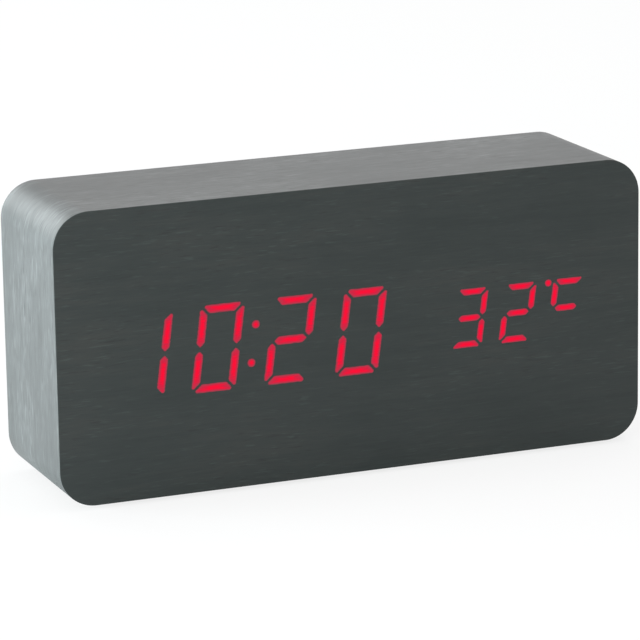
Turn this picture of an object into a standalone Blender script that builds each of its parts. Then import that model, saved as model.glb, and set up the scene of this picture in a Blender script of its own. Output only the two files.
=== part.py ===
# Digital alarm clock: a block wrapped in dark wood film, with red segment digits in its front.
# Metres, +Z up. The front faces -Y, +X is on the right, and the middle of the base is the origin.
import bpy
import bmesh
from math import cos, hypot, pi, radians, sin, tan
from mathutils import Matrix, Vector

# The block
block_width = 0.150
block_height = 0.0705
block_depth = 0.040
block_corner_radius = 0.0088
film_thickness = 0.0005
foot_height = 0.001
foot_radius = 0.0045
foot_end_inset = 0.013       # from the block's ends to a foot's centre
foot_face_inset = 0.0085     # from its front and back

# Clearances
glue_line = 0.0001           # under a film or a stuck pad
seat_gap = 0.0003            # between pieces that seat on or pass through each other
overrun = 0.001              # how far a cutter runs past what it cuts

# The wooden core, milled out from the back
front_wall = 0.004
end_wall = 0.0094
top_wall = 0.0092
pocket_corner_radius = 0.012

# The display: segment digits that lean to the right
digit_lean = radians(8)
segment_split = 0.00035      # how far a segment stops short of the corner that two share
big_half_height = 0.0106
big_stroke = 0.00215
big_corner_cut = 0.0013
big_drop = 0.0005            # below the middle of the block
small_half_height = 0.0073
small_stroke = 0.0017
small_corner_cut = 0.0010
small_drop = 0.00025
display_end_inset = 0.015    # from the block's ends to the display's
colon_dot_radius = 0.00108
colon_spacing = 0.00924
degree_dot_radius = 0.00095
degree_dot_gap = 0.00034     # between it and the unit's side
degree_dot_rise = 0.00649    # above the unit's middle
lens_gap = 0.0001            # round a lens pad in its well
lens_plate = 0.001
lens_border = 0.0006         # of the plate round its pads
mask_plate = 0.0058
mask_border = 0.0009
mask_rise = 0.0024           # of the mask above and below the big digits
flange_thickness = 0.002
flange_inset = 0.003         # from the pocket's ends
flange_rise_inset = 0.001    # from its top and bottom
led_length = 0.0022
led_width = 0.0011
led_height = 0.0008
board_thickness = 0.0016
chip_length = 0.0102
chip_width = 0.0052
chip_height = 0.0018
chip_leg_pitch = 0.00127
chip_leg_width = 0.0005
chip_leg_reach = 0.0011
chip_legs_a_side = 8
crystal_radius = 0.0015
crystal_length = 0.008
crystal_spacing = 0.006      # from the chip's end
ribbon_width = 0.0152
ribbon_thickness = 0.0009
ribbon_drop = 0.010
ribbon_rise = 0.004          # of its upper end above the block's middle

# The screws
screw_radius = 0.0011
screw_head_radius = 0.0021
screw_head_height = 0.0012
screw_boss_radius = 0.0025
screw_slot_width = 0.0006
screw_slot_depth = 0.0006
screw_edge_share = 0.333     # of the head's height, cut off its edge
screw_slot_share = 0.8       # of the head's flat top that the cross spans
display_screw_inset = 0.012  # from the flange's ends
screw_stop = 0.001           # of wall left in front of a display screw
cover_screw_length = 0.009
board_screw_length = 0.008

# The battery bay
cell_radius = 0.00515
cell_length = 0.0443
cell_button_radius = 0.0019
cell_button_height = 0.001
cell_edge = 0.0005
cell_spacing = 0.0006
cell_headroom = 0.0007       # under the door
contact_thickness = 0.0005
contact_width = 0.008
contact_height = 0.009
contact_bump_radius = 0.0022
contact_bump_height = 0.001
contact_tab_width = 0.003
contact_tab_reach = 0.002    # below the bay's floor
spring_length = 0.0035
spring_wire = 0.0005
spring_base_radius = 0.0032
spring_tip_radius = 0.0018
spring_turns = 2.5
points_a_turn = 10
bay_wall = 0.0015
bay_end_clearance = 0.0085   # from the pocket's end to the bay
lead_diameter = 0.0012

# The back cover
cover_thickness = 0.0025
cover_recess = 0.0007        # behind the block's back
cover_lip = 0.0035           # over the ledge round the pocket
cover_corner_radius = 0.004
cover_screw_inset = 0.0045
door_thickness = 0.0012
door_lip = 0.0012
hinge_bead_radius = 0.0014
hinge_pin_radius = 0.0007
hinge_pin_length = 0.0008
hinge_web = 0.0002           # between the hinge's groove and the bay's wall
hinge_ease = 0.0001          # of the bead's crest under the door's face
hinge_wall = 0.0012
hinge_end_wall = 0.0006
latch_reach = 0.004
latch_half_width = 0.005
latch_finger_length = 0.0022
latch_finger_thickness = 0.0012
nail_notch_radius = 0.004
sound_hole_radius = 0.0008
sound_ring_radius = 0.0034
sound_ring_count = 6
vent_length = 0.007
vent_width = 0.0012
vent_pitch = 0.0028
vent_count = 3

# The rear board and what it carries
rear_board_inset = 0.005     # from the pocket's end, top and bottom
rear_board_to_bay = 0.0035
board_to_cover = 0.009
button_radius = 0.003
button_stand = 0.0006        # proud of the cover
button_edge = 0.0004
button_flange_radius = 0.004
button_flange_thickness = 0.0012
button_stem_radius = 0.0019
button_travel = 0.0005
switch_size = 0.006
switch_height = 0.0035
plunger_radius = 0.00175
plunger_length = 0.0030
plunger_stand = 0.0015       # proud of the switch
jack_width = 0.009
jack_height = 0.0065
jack_nozzle_radius = 0.003
jack_nozzle_recess = 0.0003
jack_bore_radius = 0.0018
jack_pin_radius = 0.00068
jack_pin_recess = 0.0009
jack_base = 0.0024           # of solid behind the bore
jack_pin_root = 0.0015
buzzer_radius = 0.006
buzzer_height = 0.008
buzzer_hole_radius = 0.001
buzzer_hole_depth = 0.0025
thermistor_radius = 0.0012
thermistor_reach = 0.0072
thermistor_wire = 0.0005
thermistor_wire_spacing = 0.0014

# Places and widths along the display, as shares of half its width
hour_tens_share = -0.883
hour_ones_share = -0.585
colon_share = -0.436
minute_tens_share = -0.280
minute_ones_share = 0.0217
temperature_tens_share = 0.493
temperature_ones_share = 0.706
unit_share = 0.920
big_half_width_share = 0.0942
small_half_width_share = 0.0708

# Places on the display board and the flat cable's run
chip_share = 0.48                  # of half the display board's length
ribbon_lead_out_share = 0.14       # its straight ends, of the space between the boards

# Places on the rear board, as shares of half its length and half its height
button_shares = {"down": (-0.52, 0.45), "up": (0.0, 0.45), "set": (0.52, 0.45)}
jack_share = (-0.70, -0.45)
buzzer_share = (0.63, -0.45)
thermistor_share = (-0.05, -0.50)
board_screw_shares = ((-0.83, 0.60), (0.83, 0.60))
ribbon_share = 0.0

# Smoothness
corner_steps = 8
round_sides = 20
small_sides = 12
cell_sides = 20

# Worked out from these: the block
front_face = -block_depth / 2
rear_face = block_depth / 2
middle_z = foot_height + block_height / 2
half_width = block_width / 2
half_height = block_height / 2
skin = film_thickness + glue_line
core_front = front_face + skin
core_rear = rear_face - skin

# The battery bay and the back cover, from the outside in
cover_outer = rear_face - cover_recess
cover_inner = cover_outer - cover_thickness
door_inner = cover_outer - door_thickness
rebate_floor = door_inner - seat_gap
bay_floor_top = door_inner - cell_headroom - 2 * cell_radius - seat_gap
bay_floor_under = bay_floor_top - bay_wall
cell_y = bay_floor_top + seat_gap + cell_radius
cell_pitch = 2 * cell_radius + cell_spacing
bay_length = (cell_length + spring_length + contact_bump_height
              + 2 * (contact_thickness + seat_gap) + 2 * seat_gap)
pocket_half_width = half_width - skin - end_wall
pocket_half_height = half_height - skin - top_wall
cover_half_width = pocket_half_width + cover_lip
cover_half_height = pocket_half_height + cover_lip
bay_right = pocket_half_width - bay_end_clearance - bay_wall
bay_left = bay_right - bay_length
hinge_overhang = seat_gap + hinge_pin_length + hinge_end_wall
stack_height = 2 * (pocket_half_height - 2 * seat_gap - door_lip - hinge_overhang)
cell_count = 2 * int((stack_height + cell_spacing) / (2 * cell_pitch))
bay_half_height = (cell_pitch * cell_count - cell_spacing) / 2 + seat_gap
groove_radius = hinge_bead_radius + seat_gap
hinge_x = bay_left - bay_wall - hinge_web - groove_radius
hinge_y = cover_outer - hinge_bead_radius - hinge_ease
door_right = bay_right + door_lip
door_half_height = bay_half_height + door_lip

# The display, from the front in
mask_front = core_front + glue_line
mask_back = mask_front + mask_plate
flange_front = core_front + front_wall + seat_gap
flange_back = flange_front + flange_thickness
lens_front = max(mask_back, flange_back) + seat_gap
lens_back = lens_front + lens_plate
led_front = lens_back + 2 * seat_gap
display_board_front = led_front + led_height
display_board_back = display_board_front + board_thickness
flange_half_width = pocket_half_width - flange_inset
flange_half_height = pocket_half_height - flange_rise_inset
lean = tan(digit_lean)
display_half_width = half_width - display_end_inset
big_half_width = big_half_width_share * display_half_width
small_half_width = small_half_width_share * display_half_width
mask_half_width = max(
    unit_share * display_half_width + small_half_width + small_half_height * lean,
    -hour_tens_share * display_half_width + big_half_width + big_half_height * lean,
) + mask_border
mask_half_height = big_half_height + big_drop + mask_rise
display_screw_x = flange_half_width - display_screw_inset
display_screw_z = (mask_half_height + flange_half_height) / 2
chip_x = chip_share * flange_half_width

# The rear board
rear_board_back = cover_inner - board_to_cover
rear_board_front = rear_board_back - board_thickness
rear_board_left = -pocket_half_width + rear_board_inset
rear_board_right = bay_left - bay_wall - rear_board_to_bay
rear_board_x = (rear_board_left + rear_board_right) / 2
rear_board_half_width = (rear_board_right - rear_board_left) / 2
rear_board_half_height = pocket_half_height - rear_board_inset

# Colour, roughness and metallic value of each kind of piece
finishes = {
    "wood_film": ((0.052, 0.062, 0.060), 0.45, 0.0),
    "side_film": ((0.085, 0.092, 0.094), 0.45, 0.0),
    "fibreboard": ((0.42, 0.29, 0.17), 0.85, 0.0),
    "black_plastic": ((0.018, 0.018, 0.019), 0.42, 0.0),
    "white_plastic": ((0.78, 0.78, 0.76), 0.50, 0.0),
    "lit_lens": ((0.95, 0.02, 0.04), 0.30, 0.0),
    "circuit_board": ((0.02, 0.16, 0.07), 0.40, 0.0),
    "chip_black": ((0.022, 0.022, 0.024), 0.50, 0.0),
    "steel": ((0.55, 0.55, 0.56), 0.35, 1.0),
    "nickel": ((0.66, 0.64, 0.60), 0.25, 1.0),
    "ribbon_grey": ((0.34, 0.35, 0.37), 0.55, 0.0),
    "red_wire": ((0.55, 0.02, 0.02), 0.45, 0.0),
    "black_wire": ((0.02, 0.02, 0.02), 0.45, 0.0),
    "rubber": ((0.03, 0.03, 0.03), 0.85, 0.0),
    "cell_sleeve": ((0.30, 0.31, 0.33), 0.30, 0.6),
    "thermistor_black": ((0.03, 0.03, 0.03), 0.40, 0.0),
}

for startup_object in list(bpy.data.objects):
    bpy.data.objects.remove(startup_object, do_unlink=True)
clock = bpy.data.collections.new("digital_alarm_clock")
cutters = bpy.data.collections.new("cutters")
bpy.context.scene.collection.children.link(clock)
bpy.context.scene.collection.children.link(cutters)


# Making and placing objects

def add_object(name, mesh, finish=None):
    """A piece with its own material, or a hidden helper when it has no finish."""
    item = bpy.data.objects.new(name, mesh)
    if finish is None:
        cutters.objects.link(item)
        item.hide_render = True
        item.display_type = "WIRE"
        return item
    clock.objects.link(item)
    colour, roughness, metallic = finishes[finish]
    material = bpy.data.materials.new(name + "_finish")
    material.use_nodes = True
    shader = material.node_tree.nodes["Principled BSDF"]
    shader.inputs["Base Color"].default_value = (*colour, 1)
    shader.inputs["Roughness"].default_value = roughness
    shader.inputs["Metallic"].default_value = metallic
    material.diffuse_color = (*colour, 1)
    item.data.materials.append(material)
    return item


def finished_mesh(name, form, is_round):
    """The form as a mesh, shaded smooth on the faces that is_round picks."""
    bmesh.ops.recalc_face_normals(form, faces=form.faces)
    for face in form.faces:
        face.smooth = is_round(face)
    mesh = bpy.data.meshes.new(name)
    form.to_mesh(mesh)
    form.free()
    return mesh


def on_rounded_edge(face):
    return max(abs(part) for part in face.normal) < cos(radians(1))


def on_rod_side(face):
    return len(face.verts) == 4


def add_block(name, x, y, z, finish=None, radius=0.0, along=1, steps=corner_steps):
    """A box between the given ends, its edges along one axis rounded."""
    size = Vector((x[1] - x[0], y[1] - y[0], z[1] - z[0]))
    form = bmesh.new()
    bmesh.ops.create_cube(form, size=1)
    bmesh.ops.scale(form, vec=size, verts=form.verts)
    if radius > 0:
        edges = [edge for edge in form.edges
                 if abs(edge.verts[0].co[along] - edge.verts[1].co[along]) > size[along] / 2]
        bmesh.ops.bevel(form, geom=edges, offset=radius, segments=steps, profile=0.5,
                        affect="EDGES", clamp_overlap=True, material=-1)
    item = add_object(name, finished_mesh(name, form, on_rounded_edge), finish)
    item.location = ((x[0] + x[1]) / 2, (y[0] + y[1]) / 2, (z[0] + z[1]) / 2)
    return item


def add_rod(name, start, end, radius, finish=None, sides=round_sides):
    """A cylinder from start to end."""
    way = Vector(end) - Vector(start)
    form = bmesh.new()
    bmesh.ops.create_cone(form, cap_ends=True, segments=sides, radius1=radius, radius2=radius,
                          depth=way.length)
    item = add_object(name, finished_mesh(name, form, on_rod_side), finish)
    item.location = (Vector(start) + Vector(end)) / 2
    item.rotation_euler = way.to_track_quat("Z", "Y").to_euler()
    return item


def add_turned(name, profile, place, way, finish=None, sides=round_sides):
    """A turned shape: its profile of radius and height runs down the outside, top to bottom."""
    form = bmesh.new()
    points = [form.verts.new((radius, 0, height)) for radius, height in profile]
    for upper, lower in zip(points, points[1:]):
        form.edges.new((upper, lower))
    mesh = bpy.data.meshes.new(name)
    form.to_mesh(mesh)
    form.free()
    item = add_object(name, mesh, finish)
    item.location = place
    item.rotation_euler = Vector(way).to_track_quat("Z", "Y").to_euler()
    turn = item.modifiers.new("turn", "SCREW")
    turn.steps = sides
    turn.render_steps = sides
    turn.use_merge_vertices = True
    turn.merge_threshold = 0.000001
    turn.use_smooth_shade = True
    return item


def mesh_from_curve(item, finish):
    """The curve's evaluated mesh as an object of its own, its caps welded on."""
    bpy.context.view_layer.update()
    depsgraph = bpy.context.evaluated_depsgraph_get()
    mesh = bpy.data.meshes.new_from_object(item.evaluated_get(depsgraph))
    form = bmesh.new()
    form.from_mesh(mesh)
    bmesh.ops.remove_doubles(form, verts=form.verts, dist=0.000001)
    bmesh.ops.recalc_face_normals(form, faces=form.faces)
    form.to_mesh(mesh)
    form.free()
    mesh.materials.clear()
    name = item.name
    place = item.matrix_world.copy()
    bpy.data.objects.remove(item, do_unlink=True)
    solid = add_object(name, mesh, finish)
    solid.matrix_world = place
    return solid


def add_outline(name, loops, front, back, finish=None):
    """Flat outlines of points in X and Z, made as thick as from front to back."""
    sheet = bpy.data.curves.new(name, "CURVE")
    sheet.dimensions = "2D"
    sheet.fill_mode = "BOTH"
    sheet.extrude = (back - front) / 2
    for loop in loops:
        line = sheet.splines.new("POLY")
        line.points.add(len(loop) - 1)
        line.use_cyclic_u = True
        for point, (x, z) in zip(line.points, loop):
            point.co = (x, z, 0, 1)
    item = bpy.data.objects.new(name, sheet)
    cutters.objects.link(item)
    item.rotation_euler = (pi / 2, 0, 0)
    item.location = (0, (front + back) / 2, 0)
    return mesh_from_curve(item, finish)


def add_tube(name, points, diameter, resolution, finish=None):
    """A round wire through the points, closed at both ends."""
    line = bpy.data.curves.new(name, "CURVE")
    line.dimensions = "3D"
    line.bevel_depth = diameter / 2
    line.bevel_resolution = resolution
    line.use_fill_caps = True
    spline = line.splines.new("POLY")
    spline.points.add(len(points) - 1)
    for knot, point in zip(spline.points, points):
        knot.co = (*point, 1)
    item = bpy.data.objects.new(name, line)
    cutters.objects.link(item)
    return mesh_from_curve(item, finish)


def combine(item, others, operation):
    for other in others:
        step = item.modifiers.new(other.name, "BOOLEAN")
        step.operation = operation
        step.solver = "EXACT"
        step.object = other


def cut(item, *others):
    combine(item, others, "DIFFERENCE")


def join(item, *others):
    combine(item, others, "UNION")


def circle(x, z, radius, sides=small_sides):
    turns = [2 * pi * step / sides for step in range(sides)]
    return [(x + radius * cos(turn), z + radius * sin(turn)) for turn in turns]


def grown(loop, distance):
    """The same outline with each side moved out by a distance."""
    count = len(loop)
    area = sum(loop[i][0] * loop[(i + 1) % count][1] - loop[(i + 1) % count][0] * loop[i][1]
               for i in range(count))
    side = 1 if area > 0 else -1
    result = []
    for i, (x, z) in enumerate(loop):
        normals = []
        for (x1, z1), (x2, z2) in ((loop[i - 1], (x, z)), ((x, z), loop[(i + 1) % count])):
            length = hypot(x2 - x1, z2 - z1)
            normals.append((side * (z2 - z1) / length, -side * (x2 - x1) / length))
        (ax, az), (bx, bz) = normals
        reach = distance / (1 + ax * bx + az * bz)
        result.append((x + (ax + bx) * reach, z + (az + bz) * reach))
    return result


# The block: core, films and feet

def make_core():
    core = add_block(
        "case_core", (-half_width + skin, half_width - skin), (core_front, core_rear),
        (middle_z - half_height + skin, middle_z + half_height - skin),
        "fibreboard", block_corner_radius - skin)
    pocket = add_block(
        "cut_pocket", (-pocket_half_width, pocket_half_width),
        (core_front + front_wall, core_rear + overrun),
        (middle_z - pocket_half_height, middle_z + pocket_half_height),
        radius=pocket_corner_radius)
    ledge = add_block(
        "cut_ledge", (-cover_half_width - seat_gap, cover_half_width + seat_gap),
        (cover_inner - seat_gap, core_rear + overrun),
        (middle_z - cover_half_height - seat_gap, middle_z + cover_half_height + seat_gap),
        radius=cover_corner_radius + seat_gap)
    window = add_block(
        "cut_window", (-mask_half_width - seat_gap, mask_half_width + seat_gap),
        (core_front - overrun, core_front + front_wall + overrun),
        (middle_z - mask_half_height - seat_gap, middle_z + mask_half_height + seat_gap))
    cut(core, pocket, ledge, window)
    for number, (x, z) in enumerate(display_screw_places(), 1):
        cut(core, add_rod(f"cut_display_pilot_{number}", (x, front_face + skin + screw_stop, z),
                          (x, core_front + front_wall + overrun, z),
                          screw_radius + seat_gap, sides=small_sides))
    for number, (x, z) in enumerate(cover_screw_places(), 1):
        tip = cover_screw_seat() - cover_screw_length - 2 * seat_gap
        cut(core, add_rod(f"cut_cover_pilot_{number}", (x, tip, z), (x, cover_outer, z),
                          screw_radius + seat_gap, sides=small_sides))


def make_films():
    outer = block_corner_radius
    z = (middle_z - half_height, middle_z + half_height)
    band = add_block("side_veneer", (-half_width, half_width), (core_front, core_rear), z,
                     "side_film", outer, steps=2 * corner_steps)
    inside = add_block(
        "cut_band", (-half_width + film_thickness, half_width - film_thickness),
        (core_front - overrun, core_rear + overrun),
        (z[0] + film_thickness, z[1] - film_thickness), radius=outer - film_thickness,
        steps=2 * corner_steps)
    cut(band, inside)
    front = add_block("front_veneer", (-half_width, half_width),
                      (front_face, front_face + film_thickness), z,
                      "wood_film", outer, steps=2 * corner_steps)
    lit = [grown(loop, lens_gap) for sign in signs for loop, on in sign_pads(sign) if on]
    cut(front, add_outline("cut_lit_windows", lit, front_face - overrun,
                           front_face + film_thickness + overrun))
    rear = add_block("rear_veneer", (-half_width, half_width),
                     (rear_face - film_thickness, rear_face), z,
                     "side_film", outer, steps=2 * corner_steps)
    opening = add_block(
        "cut_rear_opening", (-cover_half_width - seat_gap, cover_half_width + seat_gap),
        (rear_face - film_thickness - overrun, rear_face + overrun),
        (middle_z - cover_half_height - seat_gap, middle_z + cover_half_height + seat_gap),
        radius=cover_corner_radius + seat_gap)
    cut(rear, opening)


def make_feet():
    x = half_width - foot_end_inset
    y = rear_face - foot_face_inset
    places = {"front_left": (-x, -y), "front_right": (x, -y),
              "rear_left": (-x, y), "rear_right": (x, y)}
    for name, (foot_x, foot_y) in places.items():
        add_rod("foot_" + name, (foot_x, foot_y, 0), (foot_x, foot_y, foot_height - glue_line),
                foot_radius, "rubber")


# The display: signs, lenses, mask and board

big_digit = (big_half_width, big_half_height, big_stroke, big_corner_cut, big_drop)
small_digit = (small_half_width, small_half_height, small_stroke, small_corner_cut, small_drop)

# Each sign: its name, place, size, lit segments, and dots beside its middle as (x, z, radius)
colon_dots = ((0, colon_spacing / 2, colon_dot_radius), (0, -colon_spacing / 2, colon_dot_radius))
degree_dot = ((-small_half_width - degree_dot_gap - degree_dot_radius, degree_dot_rise,
               degree_dot_radius),)
signs = (
    ("hour_tens", hour_tens_share, big_digit, "bc", ()),
    ("hour_ones", hour_ones_share, big_digit, "abcdef", ()),
    ("colon", colon_share, big_digit, None, colon_dots),
    ("minute_tens", minute_tens_share, big_digit, "abged", ()),
    ("minute_ones", minute_ones_share, big_digit, "abcdef", ()),
    ("temperature_tens", temperature_tens_share, small_digit, "abgcd", ()),
    ("temperature_ones", temperature_ones_share, small_digit, "abged", ()),
    ("temperature_unit", unit_share, small_digit, "afg", degree_dot),
)


def segment(letter, digit):
    """One segment's outline, upright, round the middle of its digit."""
    w, h, stroke, corner, drop = digit
    split = segment_split
    if letter in "ad":
        loop = [(corner - w, h), (w - corner, h), (w - corner / 2 - split, h - corner / 2),
                (w - stroke - split, h - stroke), (stroke + split - w, h - stroke),
                (corner / 2 + split - w, h - corner / 2)]
    elif letter == "g":
        tip = w - stroke / 2 - split
        flat = w - stroke - split
        loop = [(-tip, 0), (-flat, stroke / 2), (flat, stroke / 2), (tip, 0),
                (flat, -stroke / 2), (-flat, -stroke / 2)]
    else:
        loop = [(w - corner / 2, h - corner / 2 - split), (w, h - corner),
                (w, stroke / 2 + split), (w - stroke / 2, split),
                (w - stroke, stroke / 2 + split), (w - stroke, h - stroke - split)]
    across = -1 if letter in "ef" else 1
    upward = -1 if letter in "cde" else 1
    return [(across * x, upward * z) for x, z in loop]


def leaned(sign, loop):
    """An upright outline leaned over and set in its place on the front."""
    x_middle, digit = sign[1] * display_half_width, sign[2]
    return [(x_middle + x + z * lean, middle_z - digit[4] + z) for x, z in loop]


def sign_pads(sign):
    """Each pad of a sign: its outline, and whether it is lit."""
    name, share, digit, lit, dots = sign
    pads = []
    if lit is not None:
        pads = [(leaned(sign, segment(letter, digit)), letter in lit) for letter in "abcdefg"]
    for x, z, radius in dots:
        middle = leaned(sign, [(x, z)])[0]
        pads.append((circle(*middle, radius), True))
    return pads


def sign_plate(sign):
    """The leaning outline of the plate behind a sign's pads."""
    name, share, digit, lit, dots = sign
    high = digit[1] + lens_border
    left, right = (-digit[0], digit[0]) if lit else (0, 0)
    for x, z, radius in dots:
        left = min(left, x - radius)
        right = max(right, x + radius)
    left -= lens_border
    right += lens_border
    return leaned(sign, [(left, -high), (right, -high), (right, high), (left, high)])


def make_lenses():
    for sign in signs:
        name = sign[0] + "_lens"
        root = (lens_front + lens_back) / 2
        lens = add_outline(name, [sign_plate(sign)], lens_front, lens_back, "lit_lens")
        pads = sign_pads(sign)
        lit = [loop for loop, on in pads if on]
        dark = [loop for loop, on in pads if not on]
        join(lens, add_outline("join_lit_" + name, lit, front_face, root))
        if dark:
            join(lens, add_outline("join_dark_" + name, dark, mask_front, root))


def display_screw_places():
    return [(x, middle_z + z) for x in (-display_screw_x, display_screw_x)
            for z in (-display_screw_z, display_screw_z)]


def make_mask():
    mask = add_block("display_mask", (-mask_half_width, mask_half_width), (mask_front, mask_back),
                     (middle_z - mask_half_height, middle_z + mask_half_height), "black_plastic")
    flange = add_block(
        "join_flange", (-flange_half_width, flange_half_width), (flange_front, flange_back),
        (middle_z - flange_half_height, middle_z + flange_half_height),
        radius=pocket_corner_radius - flange_inset)
    join(mask, flange)
    for number, (x, z) in enumerate(display_screw_places(), 1):
        join(mask, add_rod(f"join_mask_boss_{number}", (x, flange_front + flange_thickness / 2, z),
                           (x, display_board_front - seat_gap, z), screw_boss_radius))
        cut(mask, add_rod(f"cut_mask_boss_{number}", (x, flange_front - overrun, z),
                          (x, display_board_front + overrun, z), screw_radius + seat_gap,
                          sides=small_sides))
    wells = [grown(loop, lens_gap) for sign in signs for loop, on in sign_pads(sign)]
    cut(mask, add_outline("cut_wells", wells, mask_front - overrun, mask_back + overrun))


def led_loops():
    """A small oblong on the board behind each pad, lying along it."""
    loops = []
    for sign in signs:
        for loop, on in sign_pads(sign):
            x = sum(point[0] for point in loop) / len(loop)
            z = sum(point[1] for point in loop) / len(loop)
            width = max(point[0] for point in loop) - min(point[0] for point in loop)
            height = max(point[1] for point in loop) - min(point[1] for point in loop)
            long_x, long_z = (led_length, led_width) if width > height else (led_width, led_length)
            loops.append([(x - long_x / 2, z - long_z / 2), (x + long_x / 2, z - long_z / 2),
                          (x + long_x / 2, z + long_z / 2), (x - long_x / 2, z + long_z / 2)])
    return loops


def make_display_board():
    board = add_block(
        "display_board", (-flange_half_width, flange_half_width),
        (display_board_front, display_board_back),
        (middle_z - flange_half_height, middle_z + flange_half_height),
        "circuit_board", pocket_corner_radius - flange_inset)
    join(board, add_outline("join_leds", led_loops(), led_front,
                            display_board_front + board_thickness / 2))
    for number, (x, z) in enumerate(display_screw_places(), 1):
        cut(board, add_rod(f"cut_display_board_{number}", (x, led_front, z),
                           (x, display_board_back + overrun, z), screw_radius + seat_gap,
                           sides=small_sides))
        tip = core_front + screw_stop + seat_gap
        seat = display_board_back + seat_gap
        add_screw(f"display_screw_{number}", (x, seat, z), (0, 1, 0), seat - tip)


def make_chip():
    under = display_board_back + seat_gap
    z = middle_z
    chip = add_block("clock_chip", (chip_x - chip_length / 2, chip_x + chip_length / 2),
                     (under, under + chip_height), (z - chip_width / 2, z + chip_width / 2),
                     "chip_black")
    first = chip_x - chip_leg_pitch * (chip_legs_a_side - 1) / 2
    loops = []
    for leg in range(chip_legs_a_side):
        x = first + leg * chip_leg_pitch
        end = chip_width / 2 + chip_leg_reach
        loops.append([(x - chip_leg_width / 2, z - end), (x + chip_leg_width / 2, z - end),
                      (x + chip_leg_width / 2, z + end), (x - chip_leg_width / 2, z + end)])
    join(chip, add_outline("join_chip_legs", loops, under + chip_height / 4,
                           under + chip_height / 2))
    start = chip_x + chip_length / 2 + crystal_spacing
    y = under + crystal_radius
    add_rod("crystal", (start, y, z), (start + crystal_length, y, z), crystal_radius, "nickel",
            small_sides)


def make_ribbon():
    """A flat cable in an S from the display board back and down to the rear board."""
    x = rear_board_x + ribbon_share * rear_board_half_width
    start = display_board_back + seat_gap
    end = rear_board_front - seat_gap
    upper = middle_z + ribbon_rise
    lead_out = ribbon_lead_out_share * (end - start)
    steps = 2 * corner_steps
    middle = [(start, upper)]
    for step in range(steps + 1):
        share = step / steps
        y = start + lead_out + (end - start - 2 * lead_out) * share
        middle.append((y, upper - ribbon_drop * share * share * (3 - 2 * share)))
    middle.append((end, upper - ribbon_drop))
    sides = ([], [])
    for i, (y, z) in enumerate(middle):
        before = middle[max(i - 1, 0)]
        after = middle[min(i + 1, len(middle) - 1)]
        length = hypot(after[0] - before[0], after[1] - before[1])
        off_y = -(after[1] - before[1]) / length * ribbon_thickness / 2
        off_z = (after[0] - before[0]) / length * ribbon_thickness / 2
        sides[0].append((y + off_y, z + off_z))
        sides[1].append((y - off_y, z - off_z))
    strip = add_outline("ribbon_cable", [sides[0] + sides[1][::-1]],
                        -ribbon_width / 2, ribbon_width / 2, "ribbon_grey")
    # The outline was drawn in X and Z, so a quarter turn about Z lays it along Y.
    strip.matrix_world = (Matrix.Translation((x, 0, 0)) @ Matrix.Rotation(pi / 2, 4, "Z")
                          @ strip.matrix_world)


# Screws

def add_screw(name, seat, way, length):
    """A pan head screw: the head stands from its seat along way, the shank runs back from it."""
    edge = screw_edge_share * screw_head_height
    profile = [(0, screw_head_height), (screw_head_radius - edge, screw_head_height),
               (screw_head_radius, screw_head_height - edge), (screw_head_radius, 0),
               (screw_radius, 0), (screw_radius, screw_radius - length), (0, -length)]
    screw = add_turned(name, profile, seat, way, "steel", small_sides)
    top = Vector(seat) + Vector(way) * screw_head_height
    deep = Vector(way) * screw_slot_depth
    reach = 2 * (screw_head_radius - edge) * screw_slot_share
    low, high = sorted((top.y - deep.y, top.y + deep.y))
    for turn, (x, z) in {"a": (reach, screw_slot_width), "b": (screw_slot_width, reach)}.items():
        cut(screw, add_block(f"cut_slot_{turn}_{name}", (top.x - x / 2, top.x + x / 2),
                             (low, high), (top.z - z / 2, top.z + z / 2)))


def cover_screw_places():
    x = cover_half_width - cover_screw_inset
    z = cover_half_height - cover_screw_inset
    return [(sx * x, middle_z + sz * z) for sx in (-1, 1) for sz in (-1, 1)]


def cover_screw_seat():
    return cover_outer - screw_head_height


def board_screw_places():
    return [share_place(share) for share in board_screw_shares]


# The batteries and their contacts

def cell_heights():
    top = cell_pitch * (cell_count - 1) / 2
    return [middle_z + top - number * cell_pitch for number in range(cell_count)]


def make_cells():
    body = cell_length - cell_button_height
    profile = [(0, cell_length), (cell_button_radius - cell_edge, cell_length),
               (cell_button_radius, cell_length - cell_edge), (cell_button_radius, body),
               (cell_radius - cell_edge, body), (cell_radius, body - cell_edge),
               (cell_radius, cell_edge), (cell_radius - cell_edge, 0), (0, 0)]
    room = contact_thickness + spring_length + 2 * seat_gap
    for number, z in enumerate(cell_heights()):
        start, way = (bay_left + room, 1) if on_left(number) else (bay_right - room, -1)
        add_turned(f"battery_{number + 1}", profile, (start, cell_y, z), (way, 0, 0),
                   "cell_sleeve", cell_sides)


def coil_points(face_x, way, z):
    """A cone of wire from inside its plate to the flat end of a cell."""
    count = round(spring_turns * points_a_turn)
    first = 1.5 * spring_wire
    last = spring_length - spring_wire
    points = [(face_x - way * contact_thickness / 2, spring_base_radius, 0.0)]
    for step in range(count + 1):
        share = step / count
        radius = spring_base_radius + (spring_tip_radius - spring_base_radius) * share
        points.append((face_x + way * (first + (last - first) * share), radius,
                       2 * pi * spring_turns * share))
    points.append((face_x + way * spring_length, spring_tip_radius, 2 * pi * spring_turns))
    return [Vector((x, cell_y + radius * cos(turn), z + radius * sin(turn)))
            for x, radius, turn in points]


def least_gap(points):
    """The least clear space between one curl of the wire and the next."""
    apart = points_a_turn // 2
    return min((points[i] - points[j]).length for i in range(len(points))
               for j in range(i + apart, len(points))) - spring_wire


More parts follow.
